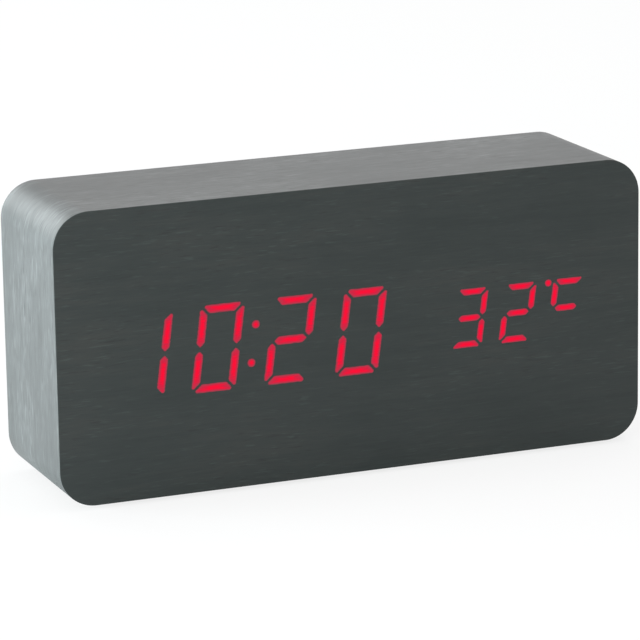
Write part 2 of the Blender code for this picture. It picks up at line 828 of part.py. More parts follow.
def make_contact(name, left, heights, bump, spring, tab):
    """A contact at one end of the bay: a plate behind cells at these heights, from the lowest,
    with a bump at one of them, a spring at another, and a tab through the floor on an end one."""
    way = 1 if left else -1
    wall = bay_left if left else bay_right
    near = wall + way * seat_gap
    face = near + way * contact_thickness
    low_y = bay_floor_top + seat_gap
    item = add_block(name, tuple(sorted((near, face))), (low_y, low_y + contact_height),
                     (heights[0] - contact_width / 2, heights[-1] + contact_width / 2), "nickel")
    if bump is not None:
        join(item, add_rod("join_bump_" + name, (near + way * contact_thickness / 2, cell_y, bump),
                           (face + way * contact_bump_height, cell_y, bump), contact_bump_radius,
                           sides=small_sides))
    if spring is not None:
        points = coil_points(face, way, spring)
        print(f"{name}: least gap of its coil {least_gap(points) * 1000:.2f} mm")
        join(item, add_tube("join_coil_" + name, points, spring_wire, 1))
    if tab:
        z = heights[0]
        join(item, add_block("join_tab_" + name, tuple(sorted((near, face))),
                             (bay_floor_under - contact_tab_reach, low_y + contact_tab_width),
                             (z - contact_tab_width / 2, z + contact_tab_width / 2)))


def on_left(number):
    """Whether the cell with this number from the top has its spring on the left."""
    return number % 2 == 0


def tab_places():
    """For the first and the last contact: whether it is on the left, and its height."""
    heights = cell_heights()
    return [(True, heights[0]), (not on_left(len(heights) - 1), heights[-1])]


def make_contacts():
    heights = cell_heights()
    make_contact("contact_negative", True, heights[:1], None, heights[0], True)
    for number, (upper, lower) in enumerate(zip(heights, heights[1:])):
        make_contact(f"contact_bridge_{number + 1}", not on_left(number), (lower, upper), upper,
                     lower, False)
    last = len(heights) - 1
    make_contact("contact_positive", not on_left(last), heights[-1:], heights[-1], None, True)


def smooth_route(knots, steps):
    """Points along one smooth curve through the knots."""
    ends = [2 * knots[0] - knots[1]] + knots + [2 * knots[-1] - knots[-2]]
    points = []
    for before, start, end, after in zip(ends, ends[1:], ends[2:], ends[3:]):
        for step in range(steps):
            t = step / steps
            points.append(0.5 * (2 * start + (end - before) * t
                                 + (2 * before - 5 * start + 4 * end - after) * t ** 2
                                 + (3 * start - before - 3 * end + after) * t ** 3))
    return points + [knots[-1]]


def make_leads():
    """Two short wires from the end contacts' tabs over to the rear board."""
    tab_y = bay_floor_under - contact_tab_reach / 2
    end_x = rear_board_right - 2 * lead_diameter
    end_y = rear_board_front - seat_gap
    for (name, finish), (left, z) in zip((("negative_lead", "black_wire"),
                                          ("positive_lead", "red_wire")), tab_places()):
        start_x = bay_left if left else bay_right - 2 * seat_gap - contact_thickness
        knots = [
            Vector((start_x, tab_y, z)),
            Vector((start_x - lead_diameter, tab_y, z)),
            Vector((rear_board_right + lead_diameter, tab_y - lead_diameter, z)),
            Vector((end_x, end_y - 2 * lead_diameter, z)),
            Vector((end_x, end_y - lead_diameter / 2, z)),
            Vector((end_x, end_y, z)),
        ]
        add_tube(name, smooth_route(knots, 3), lead_diameter, 2, finish)


# The back cover and the battery door

def button_places():
    return {name: share_place(share) for name, share in button_shares.items()}


def share_place(share):
    return (rear_board_x + share[0] * rear_board_half_width,
            middle_z + share[1] * rear_board_half_height)


def make_cover():
    cover = add_block("back_cover", (-cover_half_width, cover_half_width),
                      (cover_inner, cover_outer),
                      (middle_z - cover_half_height, middle_z + cover_half_height),
                      "black_plastic", cover_corner_radius)
    inside = (cover_inner + cover_outer) / 2
    bay = add_block("join_bay", (bay_left - bay_wall, bay_right + bay_wall),
                    (bay_floor_under, inside),
                    (middle_z - bay_half_height - bay_wall, middle_z + bay_half_height + bay_wall))
    hinge_end = door_half_height + hinge_overhang
    trough = add_block("join_trough", (hinge_x - groove_radius - hinge_wall, bay_left - bay_wall / 2),
                       (hinge_y - groove_radius - hinge_wall, inside),
                       (middle_z - hinge_end, middle_z + hinge_end))
    join(cover, bay, trough)
    for number, (x, z) in enumerate(board_screw_places(), 1):
        join(cover, add_rod(f"join_board_boss_{number}", (x, rear_board_back + seat_gap, z),
                            (x, inside, z), screw_boss_radius))
        cut(cover, add_rod(f"cut_board_boss_{number}", (x, rear_board_front, z),
                           (x, rear_board_front + board_screw_length, z),
                           screw_radius + seat_gap, sides=small_sides))
    cut_bay(cover)
    cut_cover_holes(cover)


def cut_bay(cover):
    out = (rebate_floor, cover_outer + overrun)
    edge = door_half_height + seat_gap
    cut(cover, add_block("cut_bay", (bay_left, bay_right), (bay_floor_top, cover_outer + overrun),
                         (middle_z - bay_half_height, middle_z + bay_half_height)))
    cut(cover, add_block("cut_door_rebate", (hinge_x, door_right + seat_gap), out,
                         (middle_z - edge, middle_z + edge)))
    cut(cover, add_rod("cut_hinge_groove", (hinge_x, hinge_y, middle_z - edge),
                       (hinge_x, hinge_y, middle_z + edge), groove_radius))
    cut(cover, add_block("cut_hinge_mouth",
                         (hinge_x - groove_radius - hinge_ease, hinge_x + hinge_bead_radius / 2),
                         (hinge_y + hinge_ease, cover_outer + overrun),
                         (middle_z - edge, middle_z + edge)))
    pin_end = edge + hinge_pin_length
    cut(cover, add_rod("cut_hinge_pins", (hinge_x, hinge_y, middle_z - pin_end),
                       (hinge_x, hinge_y, middle_z + pin_end), hinge_pin_radius + seat_gap,
                       sides=small_sides))
    latch_end = door_right + latch_reach
    wide = latch_half_width + seat_gap
    cut(cover, add_block("cut_latch_rebate", (bay_right, latch_end + seat_gap), out,
                         (middle_z - wide, middle_z + wide)))
    finger = latch_finger_span()
    cut(cover, add_block("cut_latch_slot", (finger[0] - seat_gap, finger[1] + seat_gap),
                         (cover_inner - overrun, cover_outer),
                         (middle_z - wide, middle_z + wide)))
    cut(cover, add_rod("cut_nail_notch", (latch_end, rebate_floor, middle_z),
                       (latch_end, cover_outer + overrun, middle_z), nail_notch_radius))
    slot = contact_thickness + 2 * seat_gap
    for left, z in tab_places():
        half = contact_tab_width / 2 + seat_gap
        span = (bay_left, bay_left + slot) if left else (bay_right - slot, bay_right)
        cut(cover, add_block(f"cut_tab_slot_{z:.4f}", span,
                             (bay_floor_under - overrun, bay_floor_top + overrun),
                             (z - half, z + half)))


def cut_cover_holes(cover):
    through = (cover_inner - overrun, cover_outer + overrun)
    for name, (x, z) in button_places().items():
        cut(cover, add_rod("cut_button_" + name, (x, through[0], z), (x, through[1], z),
                           button_radius + seat_gap))
    x, z = share_place(jack_share)
    cut(cover, add_rod("cut_jack", (x, through[0], z), (x, through[1], z),
                       jack_nozzle_radius + seat_gap))
    for number, (x, z) in enumerate(cover_screw_places(), 1):
        seat = cover_screw_seat()
        cut(cover, add_rod(f"cut_screw_hole_{number}", (x, through[0], z), (x, through[1], z),
                           screw_radius + seat_gap, sides=small_sides))
        cut(cover, add_rod(f"cut_screw_head_{number}", (x, seat - seat_gap, z), (x, through[1], z),
                           screw_head_radius + seat_gap))
    x, z = share_place(buzzer_share)
    holes = [circle(x, z, sound_hole_radius)]
    for step in range(sound_ring_count):
        turn = 2 * pi * step / sound_ring_count
        holes.append(circle(x + sound_ring_radius * cos(turn), z + sound_ring_radius * sin(turn),
                            sound_hole_radius))
    x, z = share_place(thermistor_share)
    for number in range(vent_count):
        mid = z + (number - (vent_count - 1) / 2) * vent_pitch
        holes.append([(x - vent_length / 2, mid - vent_width / 2),
                      (x + vent_length / 2, mid - vent_width / 2),
                      (x + vent_length / 2, mid + vent_width / 2),
                      (x - vent_length / 2, mid + vent_width / 2)])
    cut(cover, add_outline("cut_sound_and_vents", holes, *through))


def latch_finger_span():
    middle = door_right + latch_reach / 2
    return (middle - latch_finger_thickness / 2, middle + latch_finger_thickness / 2)


def make_door():
    """The battery door turns on two pins at the ends of a bead along its inner edge."""
    bead = add_rod("battery_door", (hinge_x, hinge_y, middle_z - door_half_height),
                   (hinge_x, hinge_y, middle_z + door_half_height), hinge_bead_radius,
                   "black_plastic")
    panel = add_block("join_door_panel", (hinge_x, door_right), (door_inner, cover_outer),
                      (middle_z - door_half_height, middle_z + door_half_height))
    pins = add_rod("join_door_pins",
                   (hinge_x, hinge_y, middle_z - door_half_height - hinge_pin_length),
                   (hinge_x, hinge_y, middle_z + door_half_height + hinge_pin_length),
                   hinge_pin_radius, sides=small_sides)
    tongue = add_block("join_latch_tongue", (bay_right, door_right + latch_reach),
                       (door_inner, cover_outer),
                       (middle_z - latch_half_width, middle_z + latch_half_width))
    finger = add_block("join_latch_finger", latch_finger_span(),
                       (door_inner - latch_finger_length, (door_inner + cover_outer) / 2),
                       (middle_z - latch_half_width, middle_z + latch_half_width))
    join(bead, panel, pins, tongue, finger)


def make_cover_screws():
    for number, (x, z) in enumerate(cover_screw_places(), 1):
        add_screw(f"cover_screw_{number}", (x, cover_screw_seat(), z), (0, 1, 0),
                  cover_screw_length)


# The rear board with its switches, buttons, jack, buzzer and thermistor

def make_rear_board():
    board = add_block("rear_board", (rear_board_left, rear_board_right),
                      (rear_board_front, rear_board_back),
                      (middle_z - rear_board_half_height, middle_z + rear_board_half_height),
                      "circuit_board", pocket_corner_radius - rear_board_inset)
    for number, (x, z) in enumerate(board_screw_places(), 1):
        cut(board, add_rod(f"cut_rear_board_{number}", (x, rear_board_front - overrun, z),
                           (x, rear_board_back + overrun, z), screw_radius + seat_gap,
                           sides=small_sides))
        add_screw(f"board_screw_{number}", (x, rear_board_front - seat_gap, z), (0, -1, 0),
                  board_screw_length)


def make_buttons():
    body_back = rear_board_back + seat_gap + switch_height
    plunger_top = body_back + plunger_stand
    plunger_foot = plunger_top - plunger_length
    stem_foot = plunger_top + seat_gap
    flange_top = cover_inner - seat_gap
    top = cover_outer + button_stand
    for name, (x, z) in button_places().items():
        half = switch_size / 2
        switch = add_block(name + "_switch", (x - half, x + half),
                           (rear_board_back + seat_gap, body_back), (z - half, z + half),
                           "chip_black")
        well = add_rod("cut_switch_" + name, (x, plunger_foot - button_travel - seat_gap, z),
                       (x, body_back + overrun, z), plunger_radius + seat_gap)
        cut(switch, well)
        add_rod(name + "_plunger", (x, plunger_foot, z), (x, plunger_top, z), plunger_radius,
                "white_plastic", small_sides)
        profile = [(0, top), (button_radius - button_edge, top),
                   (button_radius, top - button_edge), (button_radius, flange_top),
                   (button_flange_radius, flange_top),
                   (button_flange_radius, flange_top - button_flange_thickness),
                   (button_stem_radius, flange_top - button_flange_thickness),
                   (button_stem_radius, stem_foot), (0, stem_foot)]
        profile = [(radius, height - stem_foot) for radius, height in profile]
        add_turned(name + "_button", profile, (x, stem_foot, z), (0, 1, 0), "black_plastic")


def make_jack():
    x, z = share_place(jack_share)
    under = rear_board_back + seat_gap
    top = cover_inner - seat_gap
    mouth = cover_outer - jack_nozzle_recess
    jack = add_block("dc_jack", (x - jack_width / 2, x + jack_width / 2), (under, top),
                     (z - jack_height / 2, z + jack_height / 2), "chip_black")
    nozzle = add_rod("join_jack_nozzle", (x, (under + top) / 2, z), (x, mouth, z),
                     jack_nozzle_radius)
    bore = add_rod("cut_jack_bore", (x, under + jack_base, z), (x, mouth + overrun, z),
                   jack_bore_radius)
    root = under + jack_base - jack_pin_root
    seat = add_rod("cut_jack_pin_root", (x, root - seat_gap, z), (x, under + jack_base + overrun, z),
                   jack_pin_radius + seat_gap, sides=small_sides)
    join(jack, nozzle)
    cut(jack, bore, seat)
    add_rod("dc_jack_pin", (x, root, z), (x, mouth - jack_pin_recess, z), jack_pin_radius,
            "nickel", small_sides)


def make_buzzer():
    x, z = share_place(buzzer_share)
    under = rear_board_back + seat_gap
    edge = button_edge
    profile = [(buzzer_hole_radius, buzzer_height), (buzzer_radius - edge, buzzer_height),
               (buzzer_radius, buzzer_height - edge), (buzzer_radius, 0), (0, 0)]
    profile = [(0, buzzer_height - buzzer_hole_depth),
               (buzzer_hole_radius, buzzer_height - buzzer_hole_depth)] + profile
    add_turned("buzzer", profile, (x, under, z), (0, 1, 0), "chip_black")


def make_thermistor():
    x, z = share_place(thermistor_share)
    under = rear_board_back + seat_gap
    form = bmesh.new()
    bmesh.ops.create_uvsphere(form, u_segments=small_sides, v_segments=small_sides // 2,
                              radius=thermistor_radius)
    mesh = finished_mesh("thermistor", form, lambda face: True)
    bead = add_object("thermistor", mesh, "thermistor_black")
    bead.location = (x, under + thermistor_reach - thermistor_radius, z)
    for name, side in (("left", -1), ("right", 1)):
        wire_x = x + side * thermistor_wire_spacing / 2
        join(bead, add_rod("join_thermistor_" + name, (wire_x, under, z),
                           (wire_x, under + thermistor_reach - thermistor_radius, z),
                           thermistor_wire / 2, sides=small_sides // 2))


make_core()
make_films()
make_feet()
make_lenses()
make_mask()
make_display_board()
make_chip()
make_ribbon()
make_cells()
make_contacts()
make_leads()
make_cover()
make_door()
make_cover_screws()
make_rear_board()
make_buttons()
make_jack()
make_buzzer()
make_thermistor()
print(len(clock.objects), "pieces")
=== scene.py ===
# Digital alarm clock: a block wrapped in dark wood film, with red digits shining through its front.
# Metres, +Z up, the front faces -Y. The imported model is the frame, and every piece rides on it.
from math import atan2, cos, pi, radians, sin

import bmesh
import bpy
from mathutils import Matrix, Vector


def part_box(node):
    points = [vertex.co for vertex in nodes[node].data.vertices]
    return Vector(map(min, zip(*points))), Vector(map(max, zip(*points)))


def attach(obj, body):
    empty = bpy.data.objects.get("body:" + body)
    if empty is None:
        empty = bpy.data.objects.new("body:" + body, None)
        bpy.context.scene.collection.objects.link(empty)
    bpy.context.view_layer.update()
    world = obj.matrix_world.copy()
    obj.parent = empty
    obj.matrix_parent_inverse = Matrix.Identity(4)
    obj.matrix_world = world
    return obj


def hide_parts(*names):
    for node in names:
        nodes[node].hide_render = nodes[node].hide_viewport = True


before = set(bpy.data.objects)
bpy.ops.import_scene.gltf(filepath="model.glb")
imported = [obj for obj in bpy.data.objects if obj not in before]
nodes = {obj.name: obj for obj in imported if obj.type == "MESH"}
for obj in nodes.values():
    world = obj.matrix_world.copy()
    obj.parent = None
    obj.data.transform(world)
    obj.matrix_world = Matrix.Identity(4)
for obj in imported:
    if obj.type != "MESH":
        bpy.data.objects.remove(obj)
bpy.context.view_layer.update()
mm = 0.001


# Camera: angles in degrees, lens and sensor in millimetres
cameraView = {"yaw": 21.74, "pitch": 13.85, "roll": -0.95, "distance": 932.8 * mm,
              "target": (-1.23 * mm, 0.0, 34.345 * mm), "lens": 215.9, "sensor": 36.0,
              "clip": (0.05, 20.0)}


def makeCamera():
    yaw, pitch, roll = (radians(cameraView[name]) for name in ("yaw", "pitch", "roll"))
    back = Vector((-sin(yaw) * cos(pitch), -cos(yaw) * cos(pitch), sin(pitch)))
    right = Vector((cos(yaw), -sin(yaw), 0))
    up = back.cross(right)
    across = right * cos(roll) + up * sin(roll)
    upright = up * cos(roll) - right * sin(roll)
    camera = bpy.data.objects.new("camera", bpy.data.cameras.new("camera"))
    bpy.context.scene.collection.objects.link(camera)
    camera.data.lens = cameraView["lens"]
    camera.data.sensor_width = cameraView["sensor"]
    camera.data.clip_start, camera.data.clip_end = cameraView["clip"]
    turn = Matrix((across, upright, back)).transposed().to_4x4()
    place = Vector(cameraView["target"]) + back * cameraView["distance"]
    camera.matrix_world = Matrix.Translation(place) @ turn
    bpy.context.scene.camera = camera


def linear(hexColour):
    # sRGB hex to the linear colour and alpha that sockets take
    parts = [int(hexColour[i:i + 2], 16) / 255 for i in (1, 3, 5)]
    return (*(c / 12.92 if c <= 0.04045 else ((c + 0.055) / 1.055) ** 2.4 for c in parts), 1.0)


def joinSockets(tree, node, links):
    # links: socket of the node to (source node, its output)
    for name, (source, output) in links.items():
        tree.links.new(source.outputs[output], node.inputs[name])


def addNode(tree, kind, settings=None, links=None):
    # settings: the node's own values by name, its sockets by name or number
    node = tree.nodes.new(kind)
    for name, value in (settings or {}).items():
        if isinstance(name, str) and hasattr(node, name):
            setattr(node, name, value)
        else:
            node.inputs[name].default_value = value
    joinSockets(tree, node, links or {})
    return node


def setRamp(node, stops):
    # stops: (position, colour as hex or a grey value)
    ramp = node.color_ramp
    while len(ramp.elements) < len(stops):
        ramp.elements.new(0.5)
    for element, (position, colour) in zip(ramp.elements, stops):
        element.position = position
        element.color = linear(colour) if isinstance(colour, str) else (colour, colour, colour, 1)


# Studio: white to the camera at strength 1, softer as a source of light.
# The floor glows less in reflections, so the clock's own shade shows in what its front mirrors.
studioLevels = {"world": 0.55, "floorPaper": "#f4f4f4", "floorReach": 4.0, "floorMirrored": 0.06,
                "floorSeenMore": 0.74}
# place, aim, size, power in watts, colour
studioLamps = {
    "overheadLamp": ((0.3, 0.2, 1.6), (0, 0, 0.03), (1.4, 1.2), 9.0, (1.0, 0.99, 0.97)),
    "frontLamp": ((-0.5, -1.5, 0.9), (0, 0, 0.03), (1.0, 0.8), 4.5, (1, 1, 1)),
    "lowLamp": ((-0.42, -0.42, 0.16), (-0.11, -0.10, 0), (0.24, 0.12), 1.2, (0.96, 1.0, 1.0)),
    "leftLamp": ((-1.1, 0.25, 0.18), (-0.07, 0, 0.02), (0.9, 0.34), 21.8, (0.80, 0.965, 1.0)),
    "rearLeftLamp": ((-0.52, 1.25, 0.46), (-0.07, 0, 0.03), (0.8, 0.6), 4.2, (0.92, 0.99, 1.0)),
}


def makeWorld():
    world = bpy.data.worlds.new("studio")
    bpy.context.scene.world = world
    world.use_nodes = True
    tree = world.node_tree
    tree.nodes.clear()
    rays = addNode(tree, "ShaderNodeLightPath")
    seen = addNode(tree, "ShaderNodeMath", {"operation": "MAXIMUM"},
                   {0: (rays, "Is Camera Ray"), 1: (rays, "Is Glossy Ray")})
    clear = addNode(tree, "ShaderNodeMath", {"operation": "MAXIMUM"},
                    {0: (seen, 0), 1: (rays, "Is Transmission Ray")})
    level = addNode(tree, "ShaderNodeMapRange", {"To Min": studioLevels["world"], "To Max": 1.0},
                    {"Value": (clear, 0)})
    sky = addNode(tree, "ShaderNodeBackground", {"Color": (1, 1, 1, 1)}, {"Strength": (level, 0)})
    addNode(tree, "ShaderNodeOutputWorld", None, {"Surface": (sky, 0)})


def makeFloor():
    form = bmesh.new()
    bmesh.ops.create_grid(form, x_segments=1, y_segments=1, size=studioLevels["floorReach"])
    mesh = bpy.data.meshes.new("floor")
    form.to_mesh(mesh)
    form.free()
    floor = bpy.data.objects.new("floor", mesh)
    bpy.context.scene.collection.objects.link(floor)
    paper = bpy.data.materials.new("studioPaper")
    paper.use_nodes = True
    tree = paper.node_tree
    tree.nodes.clear()
    matt = addNode(tree, "ShaderNodeBsdfDiffuse", {"Color": linear(studioLevels["floorPaper"])})
    glow = addNode(tree, "ShaderNodeEmission", {"Color": (1, 1, 1, 1), "Strength": 1.0})
    rays = addNode(tree, "ShaderNodeLightPath")
    seen = addNode(tree, "ShaderNodeMath", {"operation": "MAXIMUM"},
                   {0: (rays, "Is Camera Ray"), 1: (rays, "Is Glossy Ray")})
    mirrored = addNode(tree, "ShaderNodeMath",
                       {"operation": "MULTIPLY", 1: studioLevels["floorMirrored"]}, {0: (seen, 0)})
    share = addNode(tree, "ShaderNodeMath",
                    {"operation": "MULTIPLY_ADD", 1: studioLevels["floorSeenMore"]},
                    {0: (rays, "Is Camera Ray"), 2: (mirrored, 0)})
    both = addNode(tree, "ShaderNodeMixShader", None, {0: (share, 0), 1: (matt, 0), 2: (glow, 0)})
    addNode(tree, "ShaderNodeOutputMaterial", None, {"Surface": (both, 0)})
    mesh.materials.append(paper)


def addLamp(name, place, aim, size, power, colour):
    lamp = bpy.data.lights.new(name, "AREA")
    lamp.shape = "RECTANGLE"
    lamp.size, lamp.size_y = size
    lamp.energy = power
    lamp.color = colour
    holder = bpy.data.objects.new(name, lamp)
    bpy.context.scene.collection.objects.link(holder)
    holder.location = place
    holder.rotation_euler = (Vector(aim) - Vector(place)).to_track_quat("-Z", "Y").to_euler()
    holder.visible_camera = False


makeCamera()
makeWorld()
makeFloor()
for lampName, lampValues in studioLamps.items():
    addLamp(lampName, *lampValues)
bpy.context.scene.view_settings.view_transform = "Standard"
print("stage is set")


# Materials. Each starts from what the real surface is.

noiseSpan = {"From Min": 0.3, "From Max": 0.7}  # nearly all values of a noise lie between these


def startMaterial(name, settings):
    # settings: values on the shader's own sockets
    material = bpy.data.materials.new(name)
    material.use_nodes = True
    tree = material.node_tree
    shader = tree.nodes["Principled BSDF"]
    for socket, value in settings.items():
        shader.inputs[socket].default_value = value
    return material, tree, shader


# Wood-print PVC film, roller embossed: satin charcoal, with fine pressed fibres that catch the light.
# The same print is painted paler on the wrap: painted sheen for the side light that grazes its raised
# fibres.
filmLook = {
    "front": {"tones": ("#141e1d", "#1d2524", "#272b29"), "darkDash": "#0b0f0e",
              "lightDash": "#323b39", "dashShare": 0.58, "dashFrom": 0.61, "bump": 0.08,
              "roughness": (0.40, 0.50)},
    # wrap: lighter tones and light dashes, painted sheen of the side light
    "wrap": {"tones": ("#3e4040", "#4d4f4f", "#5b5d5d"), "darkDash": "#1c1e1e",
             "lightDash": "#747676", "dashShare": 0.74, "dashFrom": 0.57, "bump": 0.16,
             "roughness": (0.38, 0.46)},
}
# Length and width of each noise in millimetres, its offset, its detail. A dash comes out about half
# as wide as its noise.
filmGrain = {"fibre": (6.5, 0.40, 3.1, 3.0), "streak": (30.0, 1.7, 7.7, 2.0),
             "patch": (42.0, 16.0, 1.3, 2.0), "darkDash": (4.6, 0.44, 11.9, 1.0),
             "lightDash": (4.6, 0.44, 23.3, 1.0), "wave": (55.0, 24.0, 5.3, 1.0)}
filmPrint = {"waveRise": 3.0 * mm, "streakWeight": 0.7, "toneRange": (0.95, 1.75),
             "gather": (0.38, 0.62), "dashFade": 0.12, "fewest": 0.3, "pressed": -0.5,
             "depth": 0.05 * mm}


def grainNoise(tree, place, name):
    # Noise drawn out along X of the place, which is (node, output)
    length, width, offset, detail = filmGrain[name]
    spread = addNode(tree, "ShaderNodeMapping",
                     {"Scale": (1 / (length * mm), 1 / (width * mm), 1 / (width * mm)),
                      "Location": (offset, offset * 1.7, offset * 0.6)}, {"Vector": place})
    return addNode(tree, "ShaderNodeTexNoise",
                   {"Scale": 1.0, "Detail": detail, "Roughness": 0.55}, {"Vector": (spread, 0)})


def makeFilm(name, kind):
    look = filmLook[kind]
    material, tree, shader = startMaterial(name, {"IOR": 1.48})
    if kind == "wrap":
        place = (addNode(tree, "ShaderNodeUVMap", {"uv_map": "wrap"}), "UV")
    else:
        place = (addNode(tree, "ShaderNodeTexCoord"), "Object")
    # the grain wanders a little, as sawn wood's does
    wave = grainNoise(tree, place, "wave")
    rise = addNode(tree, "ShaderNodeMath", {"operation": "MULTIPLY", 1: filmPrint["waveRise"]},
                   {0: (wave, "Fac")})
    lift = addNode(tree, "ShaderNodeCombineXYZ", None, {"Y": (rise, 0), "Z": (rise, 0)})
    place = (addNode(tree, "ShaderNodeVectorMath", {"operation": "ADD"},
                     {0: place, 1: (lift, 0)}), 0)
    fibres, streaks, patches = (grainNoise(tree, place, part) for part in ("fibre", "streak", "patch"))
    first = addNode(tree, "ShaderNodeMath",
                    {"operation": "MULTIPLY_ADD", 1: filmPrint["streakWeight"]},
                    {0: (streaks, "Fac"), 2: (fibres, "Fac")})
    tone = addNode(tree, "ShaderNodeMath", {"operation": "ADD"}, {0: (patches, "Fac"), 1: (first, 0)})
    low, high = filmPrint["toneRange"]
    printed = addNode(tree, "ShaderNodeMapRange", {"From Min": low, "From Max": high},
                      {"Value": (tone, 0)})
    colour = addNode(tree, "ShaderNodeValToRGB", None, {"Fac": (printed, 0)})
    setRamp(colour, list(zip((0.0, 0.5, 1.0), look["tones"])))
    # short pressed dashes, dark and light, gathered where the broad patches say
    low, high = filmPrint["gather"]
    gather = addNode(tree, "ShaderNodeMapRange", {"From Min": low, "From Max": high},
                     {"Value": (patches, "Fac")})
    few = addNode(tree, "ShaderNodeMath",
                  {"operation": "MULTIPLY_ADD", 1: 1 - filmPrint["fewest"], 2: filmPrint["fewest"]},
                  {0: (gather, 0)})
    darkNoise, lightNoise = grainNoise(tree, place, "darkDash"), grainNoise(tree, place, "lightDash")
    result = (colour, 0)
    for noise, dashColour in ((darkNoise, look["darkDash"]), (lightNoise, look["lightDash"])):
        dash = addNode(tree, "ShaderNodeMapRange",
                       {"From Min": look["dashFrom"],
                        "From Max": look["dashFrom"] + filmPrint["dashFade"]},
                       {"Value": (noise, "Fac")})
        strength = addNode(tree, "ShaderNodeMath", {"operation": "MULTIPLY"},
                           {0: (dash, 0), 1: (few, 0)})
        amount = addNode(tree, "ShaderNodeMath", {"operation": "MULTIPLY", 1: look["dashShare"]},
                         {0: (strength, 0)})
        result = (addNode(tree, "ShaderNodeMix", {"data_type": "RGBA", 7: linear(dashColour)},
                          {0: (amount, 0), 6: result}), 2)
    low, high = look["roughness"]
    gloss = addNode(tree, "ShaderNodeMapRange", {**noiseSpan, "To Min": low, "To Max": high},
                    {"Value": (fibres, "Fac")})
    relief = addNode(tree, "ShaderNodeMath", {"operation": "MULTIPLY_ADD", 1: filmPrint["pressed"]},
                     {0: (darkNoise, "Fac"), 2: (fibres, "Fac")})
    bump = addNode(tree, "ShaderNodeBump",
                   {"Strength": look["bump"], "Distance": filmPrint["depth"]}, {"Height": (relief, 0)})
    joinSockets(tree, shader, {"Base Color": result, "Roughness": (gloss, 0), "Normal": (bump, 0)})
    return material


filmFront = makeFilm("embossedWoodFilm", "front")
# the wrap's copy of the print, painted lighter: painted sheen
filmWrapPaintedSheen = makeFilm("embossedWoodFilmPaintedSheen", "wrap")

# The same film with a light behind it: bright red in the middle of a pad, dull at its rim,
# and mottled by the print. The stops go from the rim to the middle, the fibre is in millimetres.
glowLook = {"stops": ((0.22, "#6a3740"), (0.45, "#ac3a4c"), (0.72, "#d21e40"), (1.0, "#fa0434")),
            "unlit": "#0a0304", "strength": 1.0, "mottle": 0.5, "fibre": (1.4, 0.3)}


def makeGlow():
    material, tree, shader = startMaterial("litWoodFilm", {
        "Roughness": 0.5, "IOR": 1.5, "Specular IOR Level": 0.05,
        "Base Color": linear(glowLook["unlit"]), "Emission Strength": glowLook["strength"]})
    bright = addNode(tree, "ShaderNodeAttribute", {"attribute_name": "bright"})
    place = addNode(tree, "ShaderNodeTexCoord")
    length, width = glowLook["fibre"]
    spread = addNode(tree, "ShaderNodeMapping",
                     {"Scale": (1 / (length * mm), 1 / (width * mm), 1 / (width * mm))},
                     {"Vector": (place, "Object")})
    fibres = addNode(tree, "ShaderNodeTexNoise", {"Scale": 1.0, "Detail": 2.0}, {"Vector": (spread, 0)})
    level = addNode(tree, "ShaderNodeMath", {"operation": "MULTIPLY_ADD", 1: glowLook["mottle"]},
                    {0: (fibres, "Fac"), 2: (bright, "Fac")})
    red = addNode(tree, "ShaderNodeValToRGB", None, {"Fac": (level, 0)})
    setRamp(red, glowLook["stops"])
    joinSockets(tree, shader, {"Emission Color": (red, 0)})
    return material


litFilm = makeGlow()


# Moulded or cast plastic: specks as fine as the mould's grit, over a broad faint mottle.
# Grit and mottle are in millimetres.
mouldedLook = {"mottle": 14.0, "mottleShare": 0.5, "toneSpan": (0.5, 1.0), "depth": 0.04 * mm}


def makeMoulded(name, tones, grit, roughness, relief, extra=None):
    material, tree, shader = startMaterial(name, {"IOR": 1.5, **(extra or {})})
    place = addNode(tree, "ShaderNodeTexCoord")
    fine = addNode(tree, "ShaderNodeTexNoise",
                   {"Scale": 1 / (grit * mm), "Detail": 2.0, "Roughness": 0.6},
                   {"Vector": (place, "Object")})
    broad = addNode(tree, "ShaderNodeTexNoise",
                    {"Scale": 1 / (mouldedLook["mottle"] * mm), "Detail": 2.0},
                    {"Vector": (place, "Object")})
    mix = addNode(tree, "ShaderNodeMath",
                  {"operation": "MULTIPLY_ADD", 1: mouldedLook["mottleShare"]},
                  {0: (broad, "Fac"), 2: (fine, "Fac")})
    colour = addNode(tree, "ShaderNodeValToRGB", None, {"Fac": (mix, 0)})
    setRamp(colour, list(zip(mouldedLook["toneSpan"], tones)))
    low, high = roughness
    gloss = addNode(tree, "ShaderNodeMapRange", {**noiseSpan, "To Min": low, "To Max": high},
                    {"Value": (broad, "Fac")})
    bump = addNode(tree, "ShaderNodeBump", {"Strength": relief, "Distance": mouldedLook["depth"]},
                   {"Height": (fine, "Fac")})
    joinSockets(tree, shader, {"Base Color": (colour, 0), "Roughness": (gloss, 0), "Normal": (bump, 0)})
    return material


# ABS from a spark-eroded mould: dull black with an even fine grain
sparkAbs = makeMoulded("sparkTexturedAbs", ("#141415", "#242526"), 0.35, (0.42, 0.55), 0.45)
# ABS from a finer mould: a soft shine on the button caps
satinAbs = makeMoulded("satinAbs", ("#121213", "#1d1e1f"), 0.25, (0.26, 0.36), 0.12)
# ABS with a coarse matt face: it swallows stray light round the digits
maskAbs = makeMoulded("matBlackAbs", ("#0c0c0d", "#161617"), 0.3, (0.55, 0.7), 0.3)
# Cast acrylic resin, milky red: smooth and half clear
lensResin = makeMoulded("castRedResin", ("#6e0d12", "#a01a1e"), 0.5, (0.18, 0.3), 0.08,
                        {"Transmission Weight": 0.25})
# Moulded rubber: dead matt, dark grey where it is rubbed
padRubber = makeMoulded("mouldedRubber", ("#161616", "#262626"), 0.3, (0.75, 0.9), 0.35)
# Moulded epoxy of a chip: stone-like fine grain
chipResin = makeMoulded("mouldedEpoxy", ("#17181a", "#232426"), 0.12, (0.45, 0.6), 0.3)
# Nylon of switches, inlet and buzzer: waxy black
switchNylon = makeMoulded("blackNylon", ("#151516", "#222223"), 0.2, (0.38, 0.5), 0.25)
